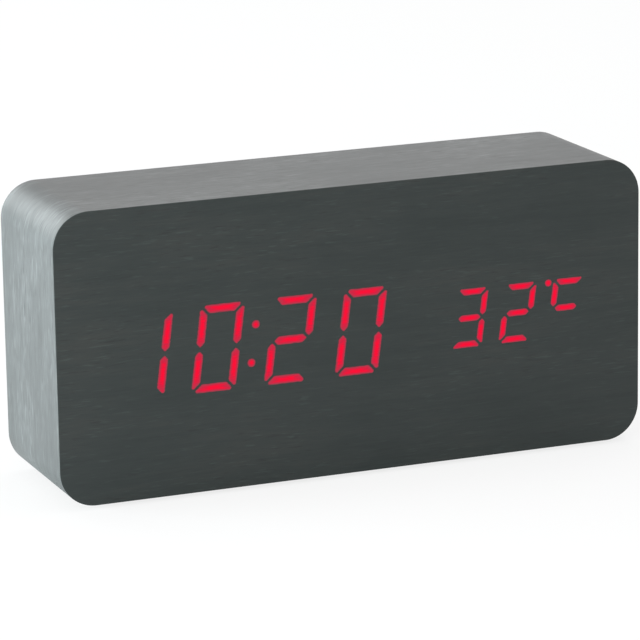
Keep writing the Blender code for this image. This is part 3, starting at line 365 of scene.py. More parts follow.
# Acetal of the plungers: even, slightly greasy white
plungerPom = makeMoulded("whiteAcetal", ("#c9c8c2", "#dcdbd6"), 0.4, (0.35, 0.45), 0.1)
# Dipped epoxy of the thermistor: a glossy black bead
thermistorEpoxy = makeMoulded("dippedEpoxy", ("#101113", "#1c1d20"), 0.6, (0.12, 0.22), 0.1)
# Extruded PVC of the leads: smooth, with a low shine
blackPvc = makeMoulded("blackPvcSleeve", ("#121212", "#1e1e1e"), 0.5, (0.35, 0.45), 0.1)
redPvc = makeMoulded("redPvcSleeve", ("#8a0f10", "#a51a18"), 0.5, (0.35, 0.45), 0.1)
# Pad-printing ink: flat pale grey, a little uneven
printInk = makeMoulded("padPrintInk", ("#a9abab", "#c3c5c4"), 0.2, (0.5, 0.6), 0.1)


# Plated metal: an even tint with fine scratches, their length and width in millimetres
metalLook = {"scratch": (2.4, 0.12), "turn": (0.4, 0.3, 0.7), "toneSpan": (0.35, 0.65),
             "depth": 0.02 * mm}


def makeMetal(name, tones, roughness, relief):
    material, tree, shader = startMaterial(name, {"Metallic": 1.0})
    place = addNode(tree, "ShaderNodeTexCoord")
    length, width = metalLook["scratch"]
    lines = addNode(tree, "ShaderNodeMapping",
                    {"Scale": (1 / (length * mm), 1 / (length * mm), 1 / (width * mm)),
                     "Rotation": metalLook["turn"]}, {"Vector": (place, "Object")})
    scratches = addNode(tree, "ShaderNodeTexNoise", {"Scale": 1.0, "Detail": 3.0},
                        {"Vector": (lines, 0)})
    tint = addNode(tree, "ShaderNodeValToRGB", None, {"Fac": (scratches, "Fac")})
    setRamp(tint, list(zip(metalLook["toneSpan"], tones)))
    low, high = roughness
    gloss = addNode(tree, "ShaderNodeMapRange", {**noiseSpan, "To Min": low, "To Max": high},
                    {"Value": (scratches, "Fac")})
    bump = addNode(tree, "ShaderNodeBump", {"Strength": relief, "Distance": metalLook["depth"]},
                   {"Height": (scratches, "Fac")})
    joinSockets(tree, shader, {"Base Color": (tint, 0), "Roughness": (gloss, 0), "Normal": (bump, 0)})
    return material


# Steel in blackened zinc: dark grey with a dull sheen
zincSteel = makeMetal("blackZincSteel", ("#5d5e60", "#77797b"), (0.30, 0.42), 0.2)
# Nickel plate on spring steel: warm and bright
nickelPlate = makeMetal("nickelPlate", ("#b3afa6", "#c9c5bc"), (0.20, 0.32), 0.15)

# Raw fibreboard, pressed and milled: matt tan with short fibres, sizes in millimetres
boardLook = {"stops": ((0.3, "#7a5c3c"), (0.5, "#9c7a52"), (0.7, "#b8966a")),
             "fibre": (1.6, 0.25, 0.5), "bump": 0.4, "depth": 0.1 * mm}


def makeFibreboard():
    material, tree, shader = startMaterial("rawFibreboard", {"Roughness": 0.9})
    place = addNode(tree, "ShaderNodeTexCoord")
    fuzz = addNode(tree, "ShaderNodeMapping",
                   {"Scale": tuple(1 / (size * mm) for size in boardLook["fibre"])},
                   {"Vector": (place, "Object")})
    fibres = addNode(tree, "ShaderNodeTexNoise", {"Scale": 1.0, "Detail": 5.0, "Roughness": 0.65},
                     {"Vector": (fuzz, 0)})
    colour = addNode(tree, "ShaderNodeValToRGB", None, {"Fac": (fibres, "Fac")})
    setRamp(colour, boardLook["stops"])
    bump = addNode(tree, "ShaderNodeBump",
                   {"Strength": boardLook["bump"], "Distance": boardLook["depth"]},
                   {"Height": (fibres, "Fac")})
    joinSockets(tree, shader, {"Base Color": (colour, 0), "Normal": (bump, 0)})
    return material


# Solder mask, green lacquer over etched copper: glossy, with tracks as raised lighter lines.
# A track every 2.1 mm, with a break every 7.8 mm
maskLook = {"unit": 3.0, "row": 0.7, "run": 2.6, "track": 0.05, "bump": 0.3, "depth": 0.05 * mm,
            "stops": ((0.0, "#0d4a26"), (0.3, "#115c30"), (1.0, "#2c8a52"))}


def makeSolderMask():
    material, tree, shader = startMaterial("greenSolderMask", {"Roughness": 0.28, "IOR": 1.5})
    place = addNode(tree, "ShaderNodeTexCoord")
    spread = addNode(tree, "ShaderNodeMapping",
                     {"Scale": (1 / (maskLook["unit"] * mm),) * 3, "Rotation": (pi / 2, 0, 0)},
                     {"Vector": (place, "Object")})
    tracks = addNode(tree, "ShaderNodeTexBrick",
                     {"Scale": 1.0, "Mortar Size": maskLook["track"], "Brick Width": maskLook["run"],
                      "Row Height": maskLook["row"], "Color1": (0, 0, 0, 1),
                      "Color2": (0.15, 0.15, 0.15, 1), "Mortar": (1, 1, 1, 1)},
                     {"Vector": (spread, 0)})
    colour = addNode(tree, "ShaderNodeValToRGB", None, {"Fac": (tracks, "Color")})
    setRamp(colour, maskLook["stops"])
    bump = addNode(tree, "ShaderNodeBump",
                   {"Strength": maskLook["bump"], "Distance": maskLook["depth"]},
                   {"Height": (tracks, "Color")})
    joinSockets(tree, shader, {"Base Color": (colour, 0), "Normal": (bump, 0)})
    return material


# Ribbon cable, extruded PVC: grey ridges, one for each core, at the usual pitch in millimetres
ribbonLook = {"pitch": 1.27, "stops": ((0.1, "#6b6d70"), (0.8, "#8f9194")), "bump": 0.6,
              "depth": 0.2 * mm, "waveTurns": 20}


def makeRibbon():
    material, tree, shader = startMaterial("greyPvcRibbon", {"Roughness": 0.45, "IOR": 1.5})
    place = addNode(tree, "ShaderNodeTexCoord")
    # a wave texture of scale 1 turns 20 radians in each unit
    scale = 2 * pi / (ribbonLook["waveTurns"] * ribbonLook["pitch"] * mm)
    cores = addNode(tree, "ShaderNodeTexWave",
                    {"wave_type": "BANDS", "bands_direction": "X", "Scale": scale,
                     "Distortion": 0.0}, {"Vector": (place, "Object")})
    colour = addNode(tree, "ShaderNodeValToRGB", None, {"Fac": (cores, "Fac")})
    setRamp(colour, ribbonLook["stops"])
    bump = addNode(tree, "ShaderNodeBump",
                   {"Strength": ribbonLook["bump"], "Distance": ribbonLook["depth"]},
                   {"Height": (cores, "Fac")})
    joinSockets(tree, shader, {"Base Color": (colour, 0), "Normal": (bump, 0)})
    return material


# Shrink sleeve of a cell, printed PVC film: satin pale grey with a green collar at the button end,
# and bare steel at both ends. The stops are shares of the cell's length.
sleeveLook = {"bands": ((0.0, "#9fa1a3"), (0.014, "#c4c6c2"), (0.76, "#2e6b58"), (0.80, "#c4c6c2"),
                        (0.815, "#2e6b58"), (0.962, "#b4b6b8")),
              "bare": ((0.0, 1.0), (0.014, 0.0), (0.962, 1.0)), "scuff": 1.5,
              "roughness": (0.26, 0.32)}


def makeSleeve():
    material, tree, shader = startMaterial("printedCellSleeve", {"IOR": 1.5})
    along = addNode(tree, "ShaderNodeAttribute", {"attribute_name": "along"})
    bands = addNode(tree, "ShaderNodeValToRGB", None, {"Fac": (along, "Fac")})
    setRamp(bands, sleeveLook["bands"])
    metal = addNode(tree, "ShaderNodeValToRGB", None, {"Fac": (along, "Fac")})
    setRamp(metal, sleeveLook["bare"])
    for node in (bands, metal):
        node.color_ramp.interpolation = "CONSTANT"
    place = addNode(tree, "ShaderNodeTexCoord")
    scuff = addNode(tree, "ShaderNodeTexNoise",
                    {"Scale": 1 / (sleeveLook["scuff"] * mm), "Detail": 3.0},
                    {"Vector": (place, "Object")})
    low, high = sleeveLook["roughness"]
    gloss = addNode(tree, "ShaderNodeMapRange", {**noiseSpan, "To Min": low, "To Max": high},
                    {"Value": (scuff, "Fac")})
    joinSockets(tree, shader, {"Base Color": (bands, 0), "Metallic": (metal, 0),
                               "Roughness": (gloss, 0)})
    return material


rawFibreboard = makeFibreboard()
solderMask = makeSolderMask()
ribbonPvc = makeRibbon()
cellSleeve = makeSleeve()
print("materials are made")


# Helpers that turn a bmesh into a riding piece

# clear: how far a cutter stands out of what it cuts
limits = {"weld": 0.0001 * mm, "merge": 0.0005 * mm, "level": 0.01 * mm, "flat": radians(0.5),
          "facing": 0.99, "clear": 1 * mm}


def addPiece(name, form, materials, body, replaced, sharpAngle=32):
    bmesh.ops.remove_doubles(form, verts=form.verts, dist=limits["weld"])
    bmesh.ops.recalc_face_normals(form, faces=form.faces)
    for face in form.faces:
        face.smooth = True
    for edge in form.edges:
        if len(edge.link_faces) == 2:
            edge.smooth = edge.calc_face_angle() < radians(sharpAngle)
    piece = asObject(name, form)
    for material in materials:
        piece.data.materials.append(material)
    shading = piece.modifiers.new("evenShading", "WEIGHTED_NORMAL")  # keeps flat faces flat
    shading.keep_sharp = True
    shading.weight = 100
    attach(piece, body)
    if replaced:
        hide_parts(*replaced)


def asObject(name, form):
    mesh = bpy.data.meshes.new(name)
    form.to_mesh(mesh)
    form.free()
    item = bpy.data.objects.new(name, mesh)
    bpy.context.scene.collection.objects.link(item)
    return item


def takeIn(joined, form):
    # Adds the form to the joined one
    mesh = bpy.data.meshes.new("passing")
    form.to_mesh(mesh)
    form.free()
    joined.from_mesh(mesh)
    bpy.data.meshes.remove(mesh)


def solidBox(low, high):
    form = bmesh.new()
    bmesh.ops.create_cube(form, size=1)
    bmesh.ops.scale(form, vec=Vector(high) - Vector(low), verts=form.verts)
    bmesh.ops.translate(form, vec=(Vector(high) + Vector(low)) / 2, verts=form.verts)
    return form


def roundEdges(form, chosen, radius, segments):
    if chosen:
        bmesh.ops.bevel(form, geom=chosen, offset=radius, segments=segments, profile=0.5,
                        affect="EDGES", clamp_overlap=True, material=-1)


def alongY(form):
    return [edge for edge in form.edges
            if abs((edge.verts[0].co - edge.verts[1].co).normalized().y) > limits["facing"]]


def nodeForm(node):
    # A merged copy of a CAD node's loose triangles, with flat faces joined up again
    form = bmesh.new()
    form.from_mesh(nodes[node].data)
    bmesh.ops.remove_doubles(form, verts=form.verts, dist=limits["merge"])
    bmesh.ops.dissolve_limit(form, angle_limit=limits["flat"], verts=form.verts, edges=form.edges)
    bmesh.ops.recalc_face_normals(form, faces=form.faces)
    return form


def cutForm(form, cutterForm, selfCrossing=False):
    # The form less the cutter, as a new form
    bmesh.ops.recalc_face_normals(form, faces=form.faces)
    bmesh.ops.recalc_face_normals(cutterForm, faces=cutterForm.faces)
    blank, cutter = asObject("blank", form), asObject("cutter", cutterForm)
    cut = blank.modifiers.new("cut", "BOOLEAN")
    cut.operation = "DIFFERENCE"
    cut.solver = "EXACT"
    cut.use_self = selfCrossing
    cut.object = cutter
    bpy.context.view_layer.update()
    mesh = bpy.data.meshes.new_from_object(
        blank.evaluated_get(bpy.context.evaluated_depsgraph_get()))
    result = bmesh.new()
    result.from_mesh(mesh)
    for item in (blank, cutter):
        bpy.data.objects.remove(item, do_unlink=True)
    return result


def turned(profile, steps):
    # profile: (radius, height) from the top of the axis to its foot
    form = bmesh.new()
    points = [form.verts.new((radius, 0, height)) for radius, height in profile]
    edges = [form.edges.new(pair) for pair in zip(points, points[1:])]
    bmesh.ops.spin(form, geom=points + edges, cent=(0, 0, 0), axis=(0, 0, 1), dvec=(0, 0, 0),
                   angle=2 * pi, steps=steps, use_merge=True, use_normal_flip=False,
                   use_duplicate=False)
    bmesh.ops.remove_doubles(form, verts=form.verts, dist=limits["merge"])
    return form


def stand(form, place, way):
    # Lays the form's Z along way, and its origin at place
    turn = Vector(way).to_track_quat("Z", "Y").to_matrix().to_4x4()
    bmesh.ops.transform(form, matrix=Matrix.Translation(place) @ turn, verts=form.verts)
    return form


def arc(centre, radius, start, end, steps):
    angles = [radians(start + (end - start) * i / steps) for i in range(steps + 1)]
    return [(centre[0] + radius * cos(angle), centre[1] + radius * sin(angle)) for angle in angles]


def middleOf(node):
    low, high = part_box(node)
    return (low + high) / 2


# The block's films

blockSizes = {"radius": 8.8 * mm, "film": 0.5 * mm, "cornerSegments": 28, "edgeRound": 0.14 * mm,
              "edgeSegments": 3, "seam": 0.01 * mm}
frontLow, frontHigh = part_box("front_veneer")
rearLow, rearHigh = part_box("rear_veneer")
frontSkin = frontLow.y + limits["level"]  # what lies before this is the very front


def wrapPlace(point, side):
    # How far round the block a point lies from the middle of its top, in metres
    radius = blockSizes["radius"]
    halfX, halfZ = frontHigh.x - radius, (frontHigh.z - frontLow.z) / 2 - radius
    half = halfX + radius * pi / 2 + halfZ
    x, z = side * point.x, point.z - (frontHigh.z + frontLow.z) / 2
    if abs(z) <= halfZ:
        along = half - z
    else:
        along = x if x <= halfX else halfX + radius * atan2(x - halfX, abs(z) - halfZ)
        along = along if z > 0 else 2 * half - along
    return side * along


def addWrapMap(form):
    layer = form.loops.layers.uv.new("wrap")
    for face in form.faces:
        side = -1 if face.calc_center_median().x < -0.001 * mm else 1
        for loop in face.loops:
            loop[layer].uv = (wrapPlace(loop.vert.co, side), loop.vert.co.y)


def makeWrap():
    low = Vector((frontLow.x, frontHigh.y + blockSizes["seam"], frontLow.z))
    high = Vector((frontHigh.x, rearLow.y - blockSizes["seam"], frontHigh.z))
    form = solidBox(low, high)
    roundEdges(form, alongY(form), blockSizes["radius"], blockSizes["cornerSegments"])
    ends = [face for face in form.faces if abs(face.normal.y) > limits["facing"]]
    bmesh.ops.delete(form, geom=ends, context="FACES_ONLY")
    bmesh.ops.recalc_face_normals(form, faces=form.faces)
    addWrapMap(form)
    bmesh.ops.solidify(form, geom=form.faces, thickness=blockSizes["film"])
    addPiece("wrapFilm", form, [filmWrapPaintedSheen], "case", ["side_veneer"])


# Lit signs: pads flush with the front, one for each lit segment or dot.
# The glow steps are (ring width, brightness at its inner edge), narrower on the small digits.
signNames = ["hour_tens", "hour_ones", "colon", "minute_tens", "minute_ones",
             "temperature_tens", "temperature_ones", "temperature_unit"]
padSizes = {"corner": 0.34 * mm, "cornerShare": 0.42, "cornerSegments": 3, "mostCorners": 9,
            "ease": 0.02 * mm, "glowSteps": ((0.14 * mm, 0.16), (0.20 * mm, 0.36)),
            "smallShare": 0.62, "windowReach": (-1 * mm, 3 * mm)}


def padOutlines(sign):
    # The fronts of a sign's pads as flat faces, with rounded corners where they aren't dots
    form = nodeForm(sign + "_lens")
    others = [face for face in form.faces
              if face.calc_center_median().y >= frontSkin or face.normal.y >= -limits["facing"]]
    bmesh.ops.delete(form, geom=others, context="FACES")
    corners = [(vert, min(edge.calc_length() for edge in vert.link_edges))
               for vert in form.verts if len(vert.link_faces[0].verts) <= padSizes["mostCorners"]]
    for vert, shortest in corners:
        bmesh.ops.bevel(form, geom=[vert], segments=padSizes["cornerSegments"], profile=0.5,
                        offset=min(padSizes["corner"], padSizes["cornerShare"] * shortest),
                        affect="VERTICES", clamp_overlap=True, material=-1)
    form.normal_update()
    return form


def thicken(form, faces, depth):
    # Gives flat faces a body behind them, and leaves them in front
    made = bmesh.ops.extrude_face_region(form, geom=faces, use_keep_orig=True)
    behind = [item for item in made["geom"] if isinstance(item, bmesh.types.BMVert)]
    bmesh.ops.translate(form, vec=(0, depth, 0), verts=behind)


def makeFrontFilm():
    form = solidBox(frontLow, frontHigh)
    roundEdges(form, alongY(form), blockSizes["radius"], blockSizes["cornerSegments"])
    rim = [edge for edge in form.edges if all(vert.co.y < frontSkin for vert in edge.verts)]
    roundEdges(form, rim, blockSizes["edgeRound"], blockSizes["edgeSegments"])
    windows = bmesh.new()
    before, reach = padSizes["windowReach"]
    for sign in signNames:
        window = padOutlines(sign)
        bmesh.ops.translate(window, vec=(0, before, 0), verts=window.verts)
        thicken(window, window.faces[:], reach)
        takeIn(windows, window)
    form = cutForm(form, windows)
    addWrapMap(form)
    # the film's edge continues the wrap round the block, in the wrap's copy with painted sheen
    for face in form.faces:
        face.material_index = 0 if abs(face.normal.y) > 0.05 else 1
    addPiece("frontFilm", form, [filmFront, filmWrapPaintedSheen], "case", ["front_veneer"])


def makeLens(sign):
    # Behind the film the CAD's plate and pads, and in each window the film lit from behind
    form = padOutlines(sign)
    bright = form.verts.layers.float.new("bright")
    bmesh.ops.inset_individual(form, faces=form.faces[:], thickness=padSizes["ease"],
                               use_even_offset=True)
    rings = [face for face in form.faces if any(len(edge.link_faces) == 1 for edge in face.edges)]
    bmesh.ops.delete(form, geom=rings, context="FACES")
    thicken(form, form.faces[:], frontHigh.y - frontLow.y)
    fronts = [face for face in form.faces if all(vert.co.y < frontSkin for vert in face.verts)]
    lit = list(fronts)
    share = padSizes["smallShare"] if sign.startswith("temperature") else 1.0
    for width, level in padSizes["glowSteps"]:
        lit += bmesh.ops.inset_individual(form, faces=fronts, thickness=share * width,
                                          use_even_offset=True)["faces"]
        for face in fronts:
            for vert in face.verts:
                vert[bright] = level
    for face in lit:
        face.material_index = 1
    for face in fronts:
        hub = bmesh.ops.poke(form, faces=[face])
        for vert in hub["verts"]:
            vert[bright] = 1.0
        for part in hub["faces"]:
            part.material_index = 1
    behind = nodeForm(sign + "_lens")
    for vert in behind.verts:
        if vert.co.y < frontSkin:
            vert.co.y = frontHigh.y + padSizes["ease"]
    takeIn(form, behind)
    first, *others = sign.split("_")
    name = first + "".join(word.title() for word in others) + "Lens"
    addPiece(name, form, [lensResin, litFilm], "case", [sign + "_lens"])


makeWrap()
makeFrontFilm()
for sign in signNames:
    makeLens(sign)
print("films and digits are made")


# Feet: soft pads with a rolled edge and a shallow dish underneath
footSizes = {"edge": 0.35 * mm, "edgeSteps": 5, "shoulder": 0.1 * mm, "dish": 0.15 * mm,
             "dishRadius": 3.2 * mm, "dishSlope": 0.3 * mm, "steps": 48}


def makeFoot(node, name):
    low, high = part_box(node)
    radius, height = (high.x - low.x) / 2, high.z - low.z
    edge, shoulder, dish = footSizes["edge"], footSizes["shoulder"], footSizes["dish"]
    profile = [(0, height), (radius - shoulder, height), (radius, height - shoulder)]
    profile += arc((radius - edge, edge), edge, 0, -90, footSizes["edgeSteps"])
    profile += [(footSizes["dishRadius"] + footSizes["dishSlope"], 0),
                (footSizes["dishRadius"], dish), (0, dish)]
    place = (middleOf(node).x, middleOf(node).y, low.z)
    form = stand(turned(profile, footSizes["steps"]), place, (0, 0, 1))
    addPiece(name, form, [padRubber], "case", [node], sharpAngle=40)


for end in ("front", "rear"):
    for side in ("left", "right"):
        makeFoot(f"foot_{end}_{side}", f"{end}{side.title()}Foot")


# Back: film ring, cover, door, buttons, inlet and screws
keyNames = ("set", "up", "down")
backSizes = {"filmEdge": 0.12 * mm, "coverEdge": 0.16 * mm, "doorEdge": 0.16 * mm,
             "edgeSegments": 2, "holeSteps": 48, "coverThickness": 2.5 * mm, "past": 0.4 * mm,
             "ease": 0.03 * mm, "buttonHole": 3.3 * mm, "inletHole": 3.3 * mm,
             "soundHole": 0.8 * mm, "soundPitch": 3.4 * mm, "soundRing": 6,
             "screwHole": 2.4 * mm, "screwDepth": 1.5 * mm}


def outerEdges(form, level):
    # Sharp edges of the rear face that lies at this depth
    return [edge for edge in form.edges if len(edge.link_faces) == 2
            and all(abs(vert.co.y - level) < limits["level"] for vert in edge.verts)
            and edge.calc_face_angle() > radians(60)]


def makeRearFilm():
    form = nodeForm("rear_veneer")
    roundEdges(form, outerEdges(form, rearHigh.y), backSizes["filmEdge"], backSizes["edgeSegments"])
    addWrapMap(form)
    # the ring's sides take the wrap's copy with painted sheen
    for face in form.faces:
        face.material_index = 0 if abs(face.normal.y) > 0.8 else 1
    addPiece("rearFilm", form, [filmFront, filmWrapPaintedSheen], "case", ["rear_veneer"])


def roundCutter(holes, level):
    # Smooth drills for holes given as (place, radius, depth) under the face at this depth
    joined = bmesh.new()
    above = limits["clear"]
    for place, radius, depth in holes:
        radius += backSizes["ease"]
        drill = turned([(0, above), (radius, above), (radius, -depth), (0, -depth)],
                       backSizes["holeSteps"])
        takeIn(joined, stand(drill, (place.x, level, place.z), (0, 1, 0)))
    return joined


def coverHoles():
    through = backSizes["coverThickness"] + backSizes["past"]
    holes = [(middleOf(key + "_button"), backSizes["buttonHole"], through)
             for key in keyNames]
    holes.append((middleOf("dc_jack_pin"), backSizes["inletHole"], through))
    places = [Vector((0, 0, 0))]
    for number in range(backSizes["soundRing"]):
        angle = 2 * pi * number / backSizes["soundRing"]
        places.append(backSizes["soundPitch"] * Vector((cos(angle), 0, sin(angle))))
    holes += [(middleOf("buzzer") + place, backSizes["soundHole"], through) for place in places]
    holes += [(middleOf(f"cover_screw_{number}"), backSizes["screwHole"], backSizes["screwDepth"])
              for number in range(1, 5)]
    return holes


def makeCover():
    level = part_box("back_cover")[1].y
    form = cutForm(nodeForm("back_cover"), roundCutter(coverHoles(), level), True)
    bmesh.ops.dissolve_limit(form, angle_limit=limits["flat"], verts=form.verts, edges=form.edges)
    roundEdges(form, outerEdges(form, level), backSizes["coverEdge"], backSizes["edgeSegments"])
    addPiece("rearCover", form, [sparkAbs], "case", ["back_cover"])


# Door: three grip ribs beside the latch
ribSizes = {"count": 3, "pitch": 1.6 * mm, "width": 0.8 * mm, "length": 9.0 * mm, "rise": 0.3 * mm,
            "root": 0.1 * mm, "inset": 5.0 * mm, "edge": 0.2 * mm, "edgeSegments": 3}


def makeDoor():
    form = nodeForm("battery_door")
    low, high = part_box("battery_door")
    roundEdges(form, outerEdges(form, high.y), backSizes["doorEdge"], backSizes["edgeSegments"])
    halfWidth, halfLength = ribSizes["width"] / 2, ribSizes["length"] / 2
    z = (low.z + high.z) / 2
    for number in range(ribSizes["count"]):
        x = high.x - ribSizes["inset"] - number * ribSizes["pitch"]
        rib = solidBox((x - halfWidth, high.y - ribSizes["root"], z - halfLength),
                       (x + halfWidth, high.y + ribSizes["rise"], z + halfLength))
        crest = [edge for edge in rib.edges if any(face.normal.y > 0.9 for face in edge.link_faces)]
        roundEdges(rib, crest, ribSizes["edge"], ribSizes["edgeSegments"])
        takeIn(form, rib)
    addPiece("batteryDoor", form, [sparkAbs], "door", ["battery_door"])


# Buttons: satin caps with a dished top. The dish is (radius, share of its depth) from the middle out.
capSizes = {"radius": 3.0 * mm, "stemRadius": 1.9 * mm, "edge": 0.4 * mm, "edgeSteps": 5,
            "dish": 0.18 * mm, "dishShape": ((0, 1), (1.2 * mm, 0.85), (2.2 * mm, 0.15)),
            "flange": 1.2 * mm, "flangeGap": 0.3 * mm, "steps": 56}


def makeButton(key):
    node = key + "_button"
    low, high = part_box(node)
    tall, edge, stem = high.y - low.y, capSizes["edge"], capSizes["stemRadius"]
    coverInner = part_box("back_cover")[1].y - backSizes["coverThickness"]
    flangeRadius, flangeTop = (high.x - low.x) / 2, coverInner - capSizes["flangeGap"] - low.y
    flangeFoot = flangeTop - capSizes["flange"]
    profile = [(radius, tall - share * capSizes["dish"]) for radius, share in capSizes["dishShape"]]
    profile += arc((capSizes["radius"] - edge, tall - edge), edge, 90, 0, capSizes["edgeSteps"])
    profile += [(capSizes["radius"], flangeTop), (flangeRadius, flangeTop),
                (flangeRadius, flangeFoot), (stem, flangeFoot), (stem, 0), (0, 0)]
    place = (middleOf(node).x, low.y, middleOf(node).z)
    form = stand(turned(profile, capSizes["steps"]), place, (0, 1, 0))
    addPiece(key + "Button", form, [satinAbs], key + "_key", [node], sharpAngle=40)


inletSizes = {"edge": 0.15 * mm, "edgeSegments": 2, "pinEdge": 0.3 * mm, "pinEdgeSteps": 5,
              "pinSteps": 32}


def makeInlet():
    form = nodeForm("dc_jack")
    roundEdges(form, outerEdges(form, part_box("dc_jack")[1].y), inletSizes["edge"],
               inletSizes["edgeSegments"])
    addPiece("inletBody", form, [switchNylon], "case", ["dc_jack"])
    low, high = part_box("dc_jack_pin")
    radius, tall, edge = (high.x - low.x) / 2, high.y - low.y, inletSizes["pinEdge"]
    profile = [(0, tall)] + arc((radius - edge, tall - edge), edge, 90, 0, inletSizes["pinEdgeSteps"])
    profile += [(radius, 0), (0, 0)]
    place = (middleOf("dc_jack_pin").x, low.y, middleOf("dc_jack_pin").z)
    pin = stand(turned(profile, inletSizes["pinSteps"]), place, (0, 1, 0))
    addPiece("inletPin", pin, [nickelPlate], "case", ["dc_jack_pin"], sharpAngle=40)


# Screws: pan heads with a pressed cross that narrows to its foot, each left at its own angle
screwSizes = {"radius": 2.1 * mm, "head": 1.2 * mm, "shank": 1.1 * mm, "length": 9.0 * mm,
              "crown": 0.06 * mm, "crownShare": 0.45, "shoulder": 0.55 * mm,
              "shoulderDrop": 0.70 * mm, "shoulderSteps": 6, "tip": 0.3 * mm, "cross": 2.5 * mm,
              "crossWidth": 0.6 * mm, "crossDepth": 0.75 * mm, "crossTaper": 0.55, "turn": 0.37,
              "steps": 40}


def makeScrewForm():
    head, radius, shank = screwSizes["head"], screwSizes["radius"], screwSizes["shank"]
    shoulder, length = screwSizes["shoulder"], screwSizes["length"]
    profile = [(0, head), (radius * screwSizes["crownShare"], head - screwSizes["crown"])]
    profile += arc((radius - shoulder, head - screwSizes["shoulderDrop"]), shoulder, 70, 0,
                   screwSizes["shoulderSteps"])
    profile += [(radius, 0), (shank, 0), (shank, shank - length), (screwSizes["tip"], -length),
                (0, -length)]
    cross = bmesh.new()
    wide, reach, foot = screwSizes["crossWidth"], screwSizes["cross"], head - screwSizes["crossDepth"]
    for x, y in ((reach / 2, wide / 2), (wide / 2, reach / 2)):
        arm = solidBox((-x, -y, foot), (x, y, head + limits["clear"]))
        lower = [vert for vert in arm.verts if vert.co.z < head]
        bmesh.ops.scale(arm, vec=(screwSizes["crossTaper"], screwSizes["crossTaper"], 1), verts=lower)
        takeIn(cross, arm)
    return cutForm(turned(profile, screwSizes["steps"]), cross, True)


def makeCoverScrews():
    screw = makeScrewForm()
    for number in range(1, 5):
        node = f"cover_screw_{number}"
        form = screw.copy()
        bmesh.ops.rotate(form, verts=form.verts, cent=(0, 0, 0),
                         matrix=Matrix.Rotation(screwSizes["turn"] * number, 3, "Z"))
        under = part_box(node)[1].y - screwSizes["head"]
        stand(form, (middleOf(node).x, under, middleOf(node).z), (0, 1, 0))
        addPiece(f"coverScrew{number}", form, [zincSteel], "case", [node])
    screw.free()


# Printed marks: a ring over set, an arrow up, an arrow down, and an arrow beside the latch
markSizes = {"radius": 0.95 * mm, "line": 0.28 * mm, "rise": 0.05 * mm, "gap": 5.0 * mm,
             "latchGap": 7.5 * mm, "ringSteps": 32}


def makeMarks(name, body, node, marks):
    # marks: (corners, turn in degrees, x, z) on the rear face of the node
    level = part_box(node)[1].y
    joined = bmesh.new()
    for corners, turn, x, z in marks:
        form = bmesh.new()
        bmesh.ops.create_circle(form, cap_ends=True, segments=corners, radius=markSizes["radius"])
        if corners == markSizes["ringSteps"]:
            bmesh.ops.inset_individual(form, faces=form.faces[:], thickness=markSizes["line"])
            middle = [face for face in form.faces if len(face.verts) == corners]
            bmesh.ops.delete(form, geom=middle, context="FACES_ONLY")
        for angle, axis in ((radians(turn), "Z"), (pi / 2, "X")):
            bmesh.ops.rotate(form, verts=form.verts, cent=(0, 0, 0),
                             matrix=Matrix.Rotation(angle, 3, axis))
        bmesh.ops.translate(form, vec=(x, level + markSizes["rise"], z), verts=form.verts)
        thicken(form, form.faces[:], -2 * markSizes["rise"])
        takeIn(joined, form)
    addPiece(name, joined, [printInk], body, None)


def makeAllMarks():
    buttonMarks = []
    for key, corners, turn in (("set", markSizes["ringSteps"], 0), ("up", 3, 0), ("down", 3, 180)):
        place = middleOf(key + "_button")
        buttonMarks.append((corners, turn, place.x, place.z + markSizes["gap"]))
    makeMarks("buttonMarks", "case", "back_cover", buttonMarks)
    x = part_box("battery_door")[1].x - ribSizes["inset"] - markSizes["latchGap"]
    makeMarks("latchMark", "door", "battery_door", [(3, 90, x, middleOf("battery_door").z)])


makeRearFilm()
makeCover()
makeDoor()
for key in keyNames:
    makeButton(key)
makeInlet()
makeCoverScrews()
makeAllMarks()
print("feet and back are made")


# Battery bay: cells, turned as one profile from the button down to the flat end, and their contacts
cellSizes = {"edge": 0.6 * mm, "edgeSteps": 5, "button": 1.9 * mm, "buttonRise": 1.0 * mm,
             "buttonEdge": 0.4 * mm, "buttonEdgeSteps": 4, "buttonFoot": 0.05 * mm,
             "groove": 0.15 * mm, "grooveSlope": 0.5 * mm, "grooveRim": (1.3 * mm, 1.2 * mm),
             "flatGroove": 0.12 * mm, "flatRim": (1.0 * mm, 1.1 * mm),
             "flatMiddle": (2.6 * mm, 2.4 * mm), "steps": 64}


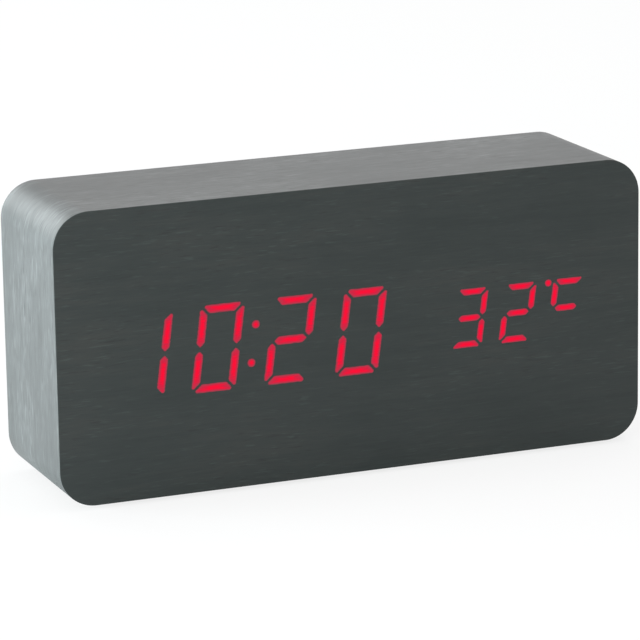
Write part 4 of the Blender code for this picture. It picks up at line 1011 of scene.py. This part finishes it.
def makeCell(number):
    node = f"battery_{number}"
    low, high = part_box(node)
    length, radius = high.x - low.x, (high.z - low.z) / 2
    body, edge, button = length - cellSizes["buttonRise"], cellSizes["edge"], cellSizes["button"]
    buttonEdge, groove, flat = (cellSizes[name] for name in ("buttonEdge", "groove", "flatGroove"))
    inner, outer = cellSizes["grooveRim"]
    profile = [(0, length)] + arc((button - buttonEdge, length - buttonEdge), buttonEdge, 90, 0,
                                  cellSizes["buttonEdgeSteps"])
    profile += [(button, body + cellSizes["buttonFoot"]),
                (button + cellSizes["grooveSlope"], body - groove),
                (radius - inner, body - groove), (radius - outer, body)]
    profile += arc((radius - edge, body - edge), edge, 90, 0, cellSizes["edgeSteps"])
    profile += arc((radius - edge, edge), edge, 0, -90, cellSizes["edgeSteps"])
    outer, inner = cellSizes["flatRim"]
    slope, middle = cellSizes["flatMiddle"]
    profile += [(radius - outer, 0), (radius - inner, flat), (slope, flat), (middle, 0), (0, 0)]
    form = turned(profile, cellSizes["steps"])
    along = form.verts.layers.float.new("along")
    for vert in form.verts:
        vert[along] = vert.co.z / length
    # the buttons point by turns to the right and to the left of the bay
    start, way = (low.x, 1) if number % 2 else (high.x, -1)
    stand(form, (start, middleOf(node).y, middleOf(node).z), (way, 0, 0))
    addPiece(f"cell{number}", form, [cellSleeve], "case", [node], sharpAngle=40)


for number in range(1, 5):
    makeCell(number)
contactNames = {"contact_negative": "negativeContact", "contact_bridge_1": "bridgeContact1",
                "contact_bridge_2": "bridgeContact2", "contact_bridge_3": "bridgeContact3",
                "contact_positive": "positiveContact"}
for node, name in contactNames.items():
    addPiece(name, nodeForm(node), [nickelPlate], "case", [node], sharpAngle=50)
print("batteries are in")


# Finishes of the CAD nodes that stay as they are
nodeFinishes = {
    "case_core": rawFibreboard, "display_mask": maskAbs, "display_board": solderMask,
    "rear_board": solderMask, "clock_chip": chipResin, "crystal": nickelPlate,
    "ribbon_cable": ribbonPvc, "buzzer": switchNylon, "thermistor": thermistorEpoxy,
    "negative_lead": blackPvc, "positive_lead": redPvc,
    "board_screw_1": zincSteel, "board_screw_2": zincSteel,
    **{f"display_screw_{number}": zincSteel for number in range(1, 5)},
    **{key + "_switch": switchNylon for key in keyNames},
    **{key + "_plunger": plungerPom for key in keyNames},
}
for node, finish in nodeFinishes.items():
    item = nodes[node]
    if not item.material_slots:
        item.data.materials.append(finish)
    for place in item.material_slots:
        place.material = finish
print("the inner pieces have their finishes")
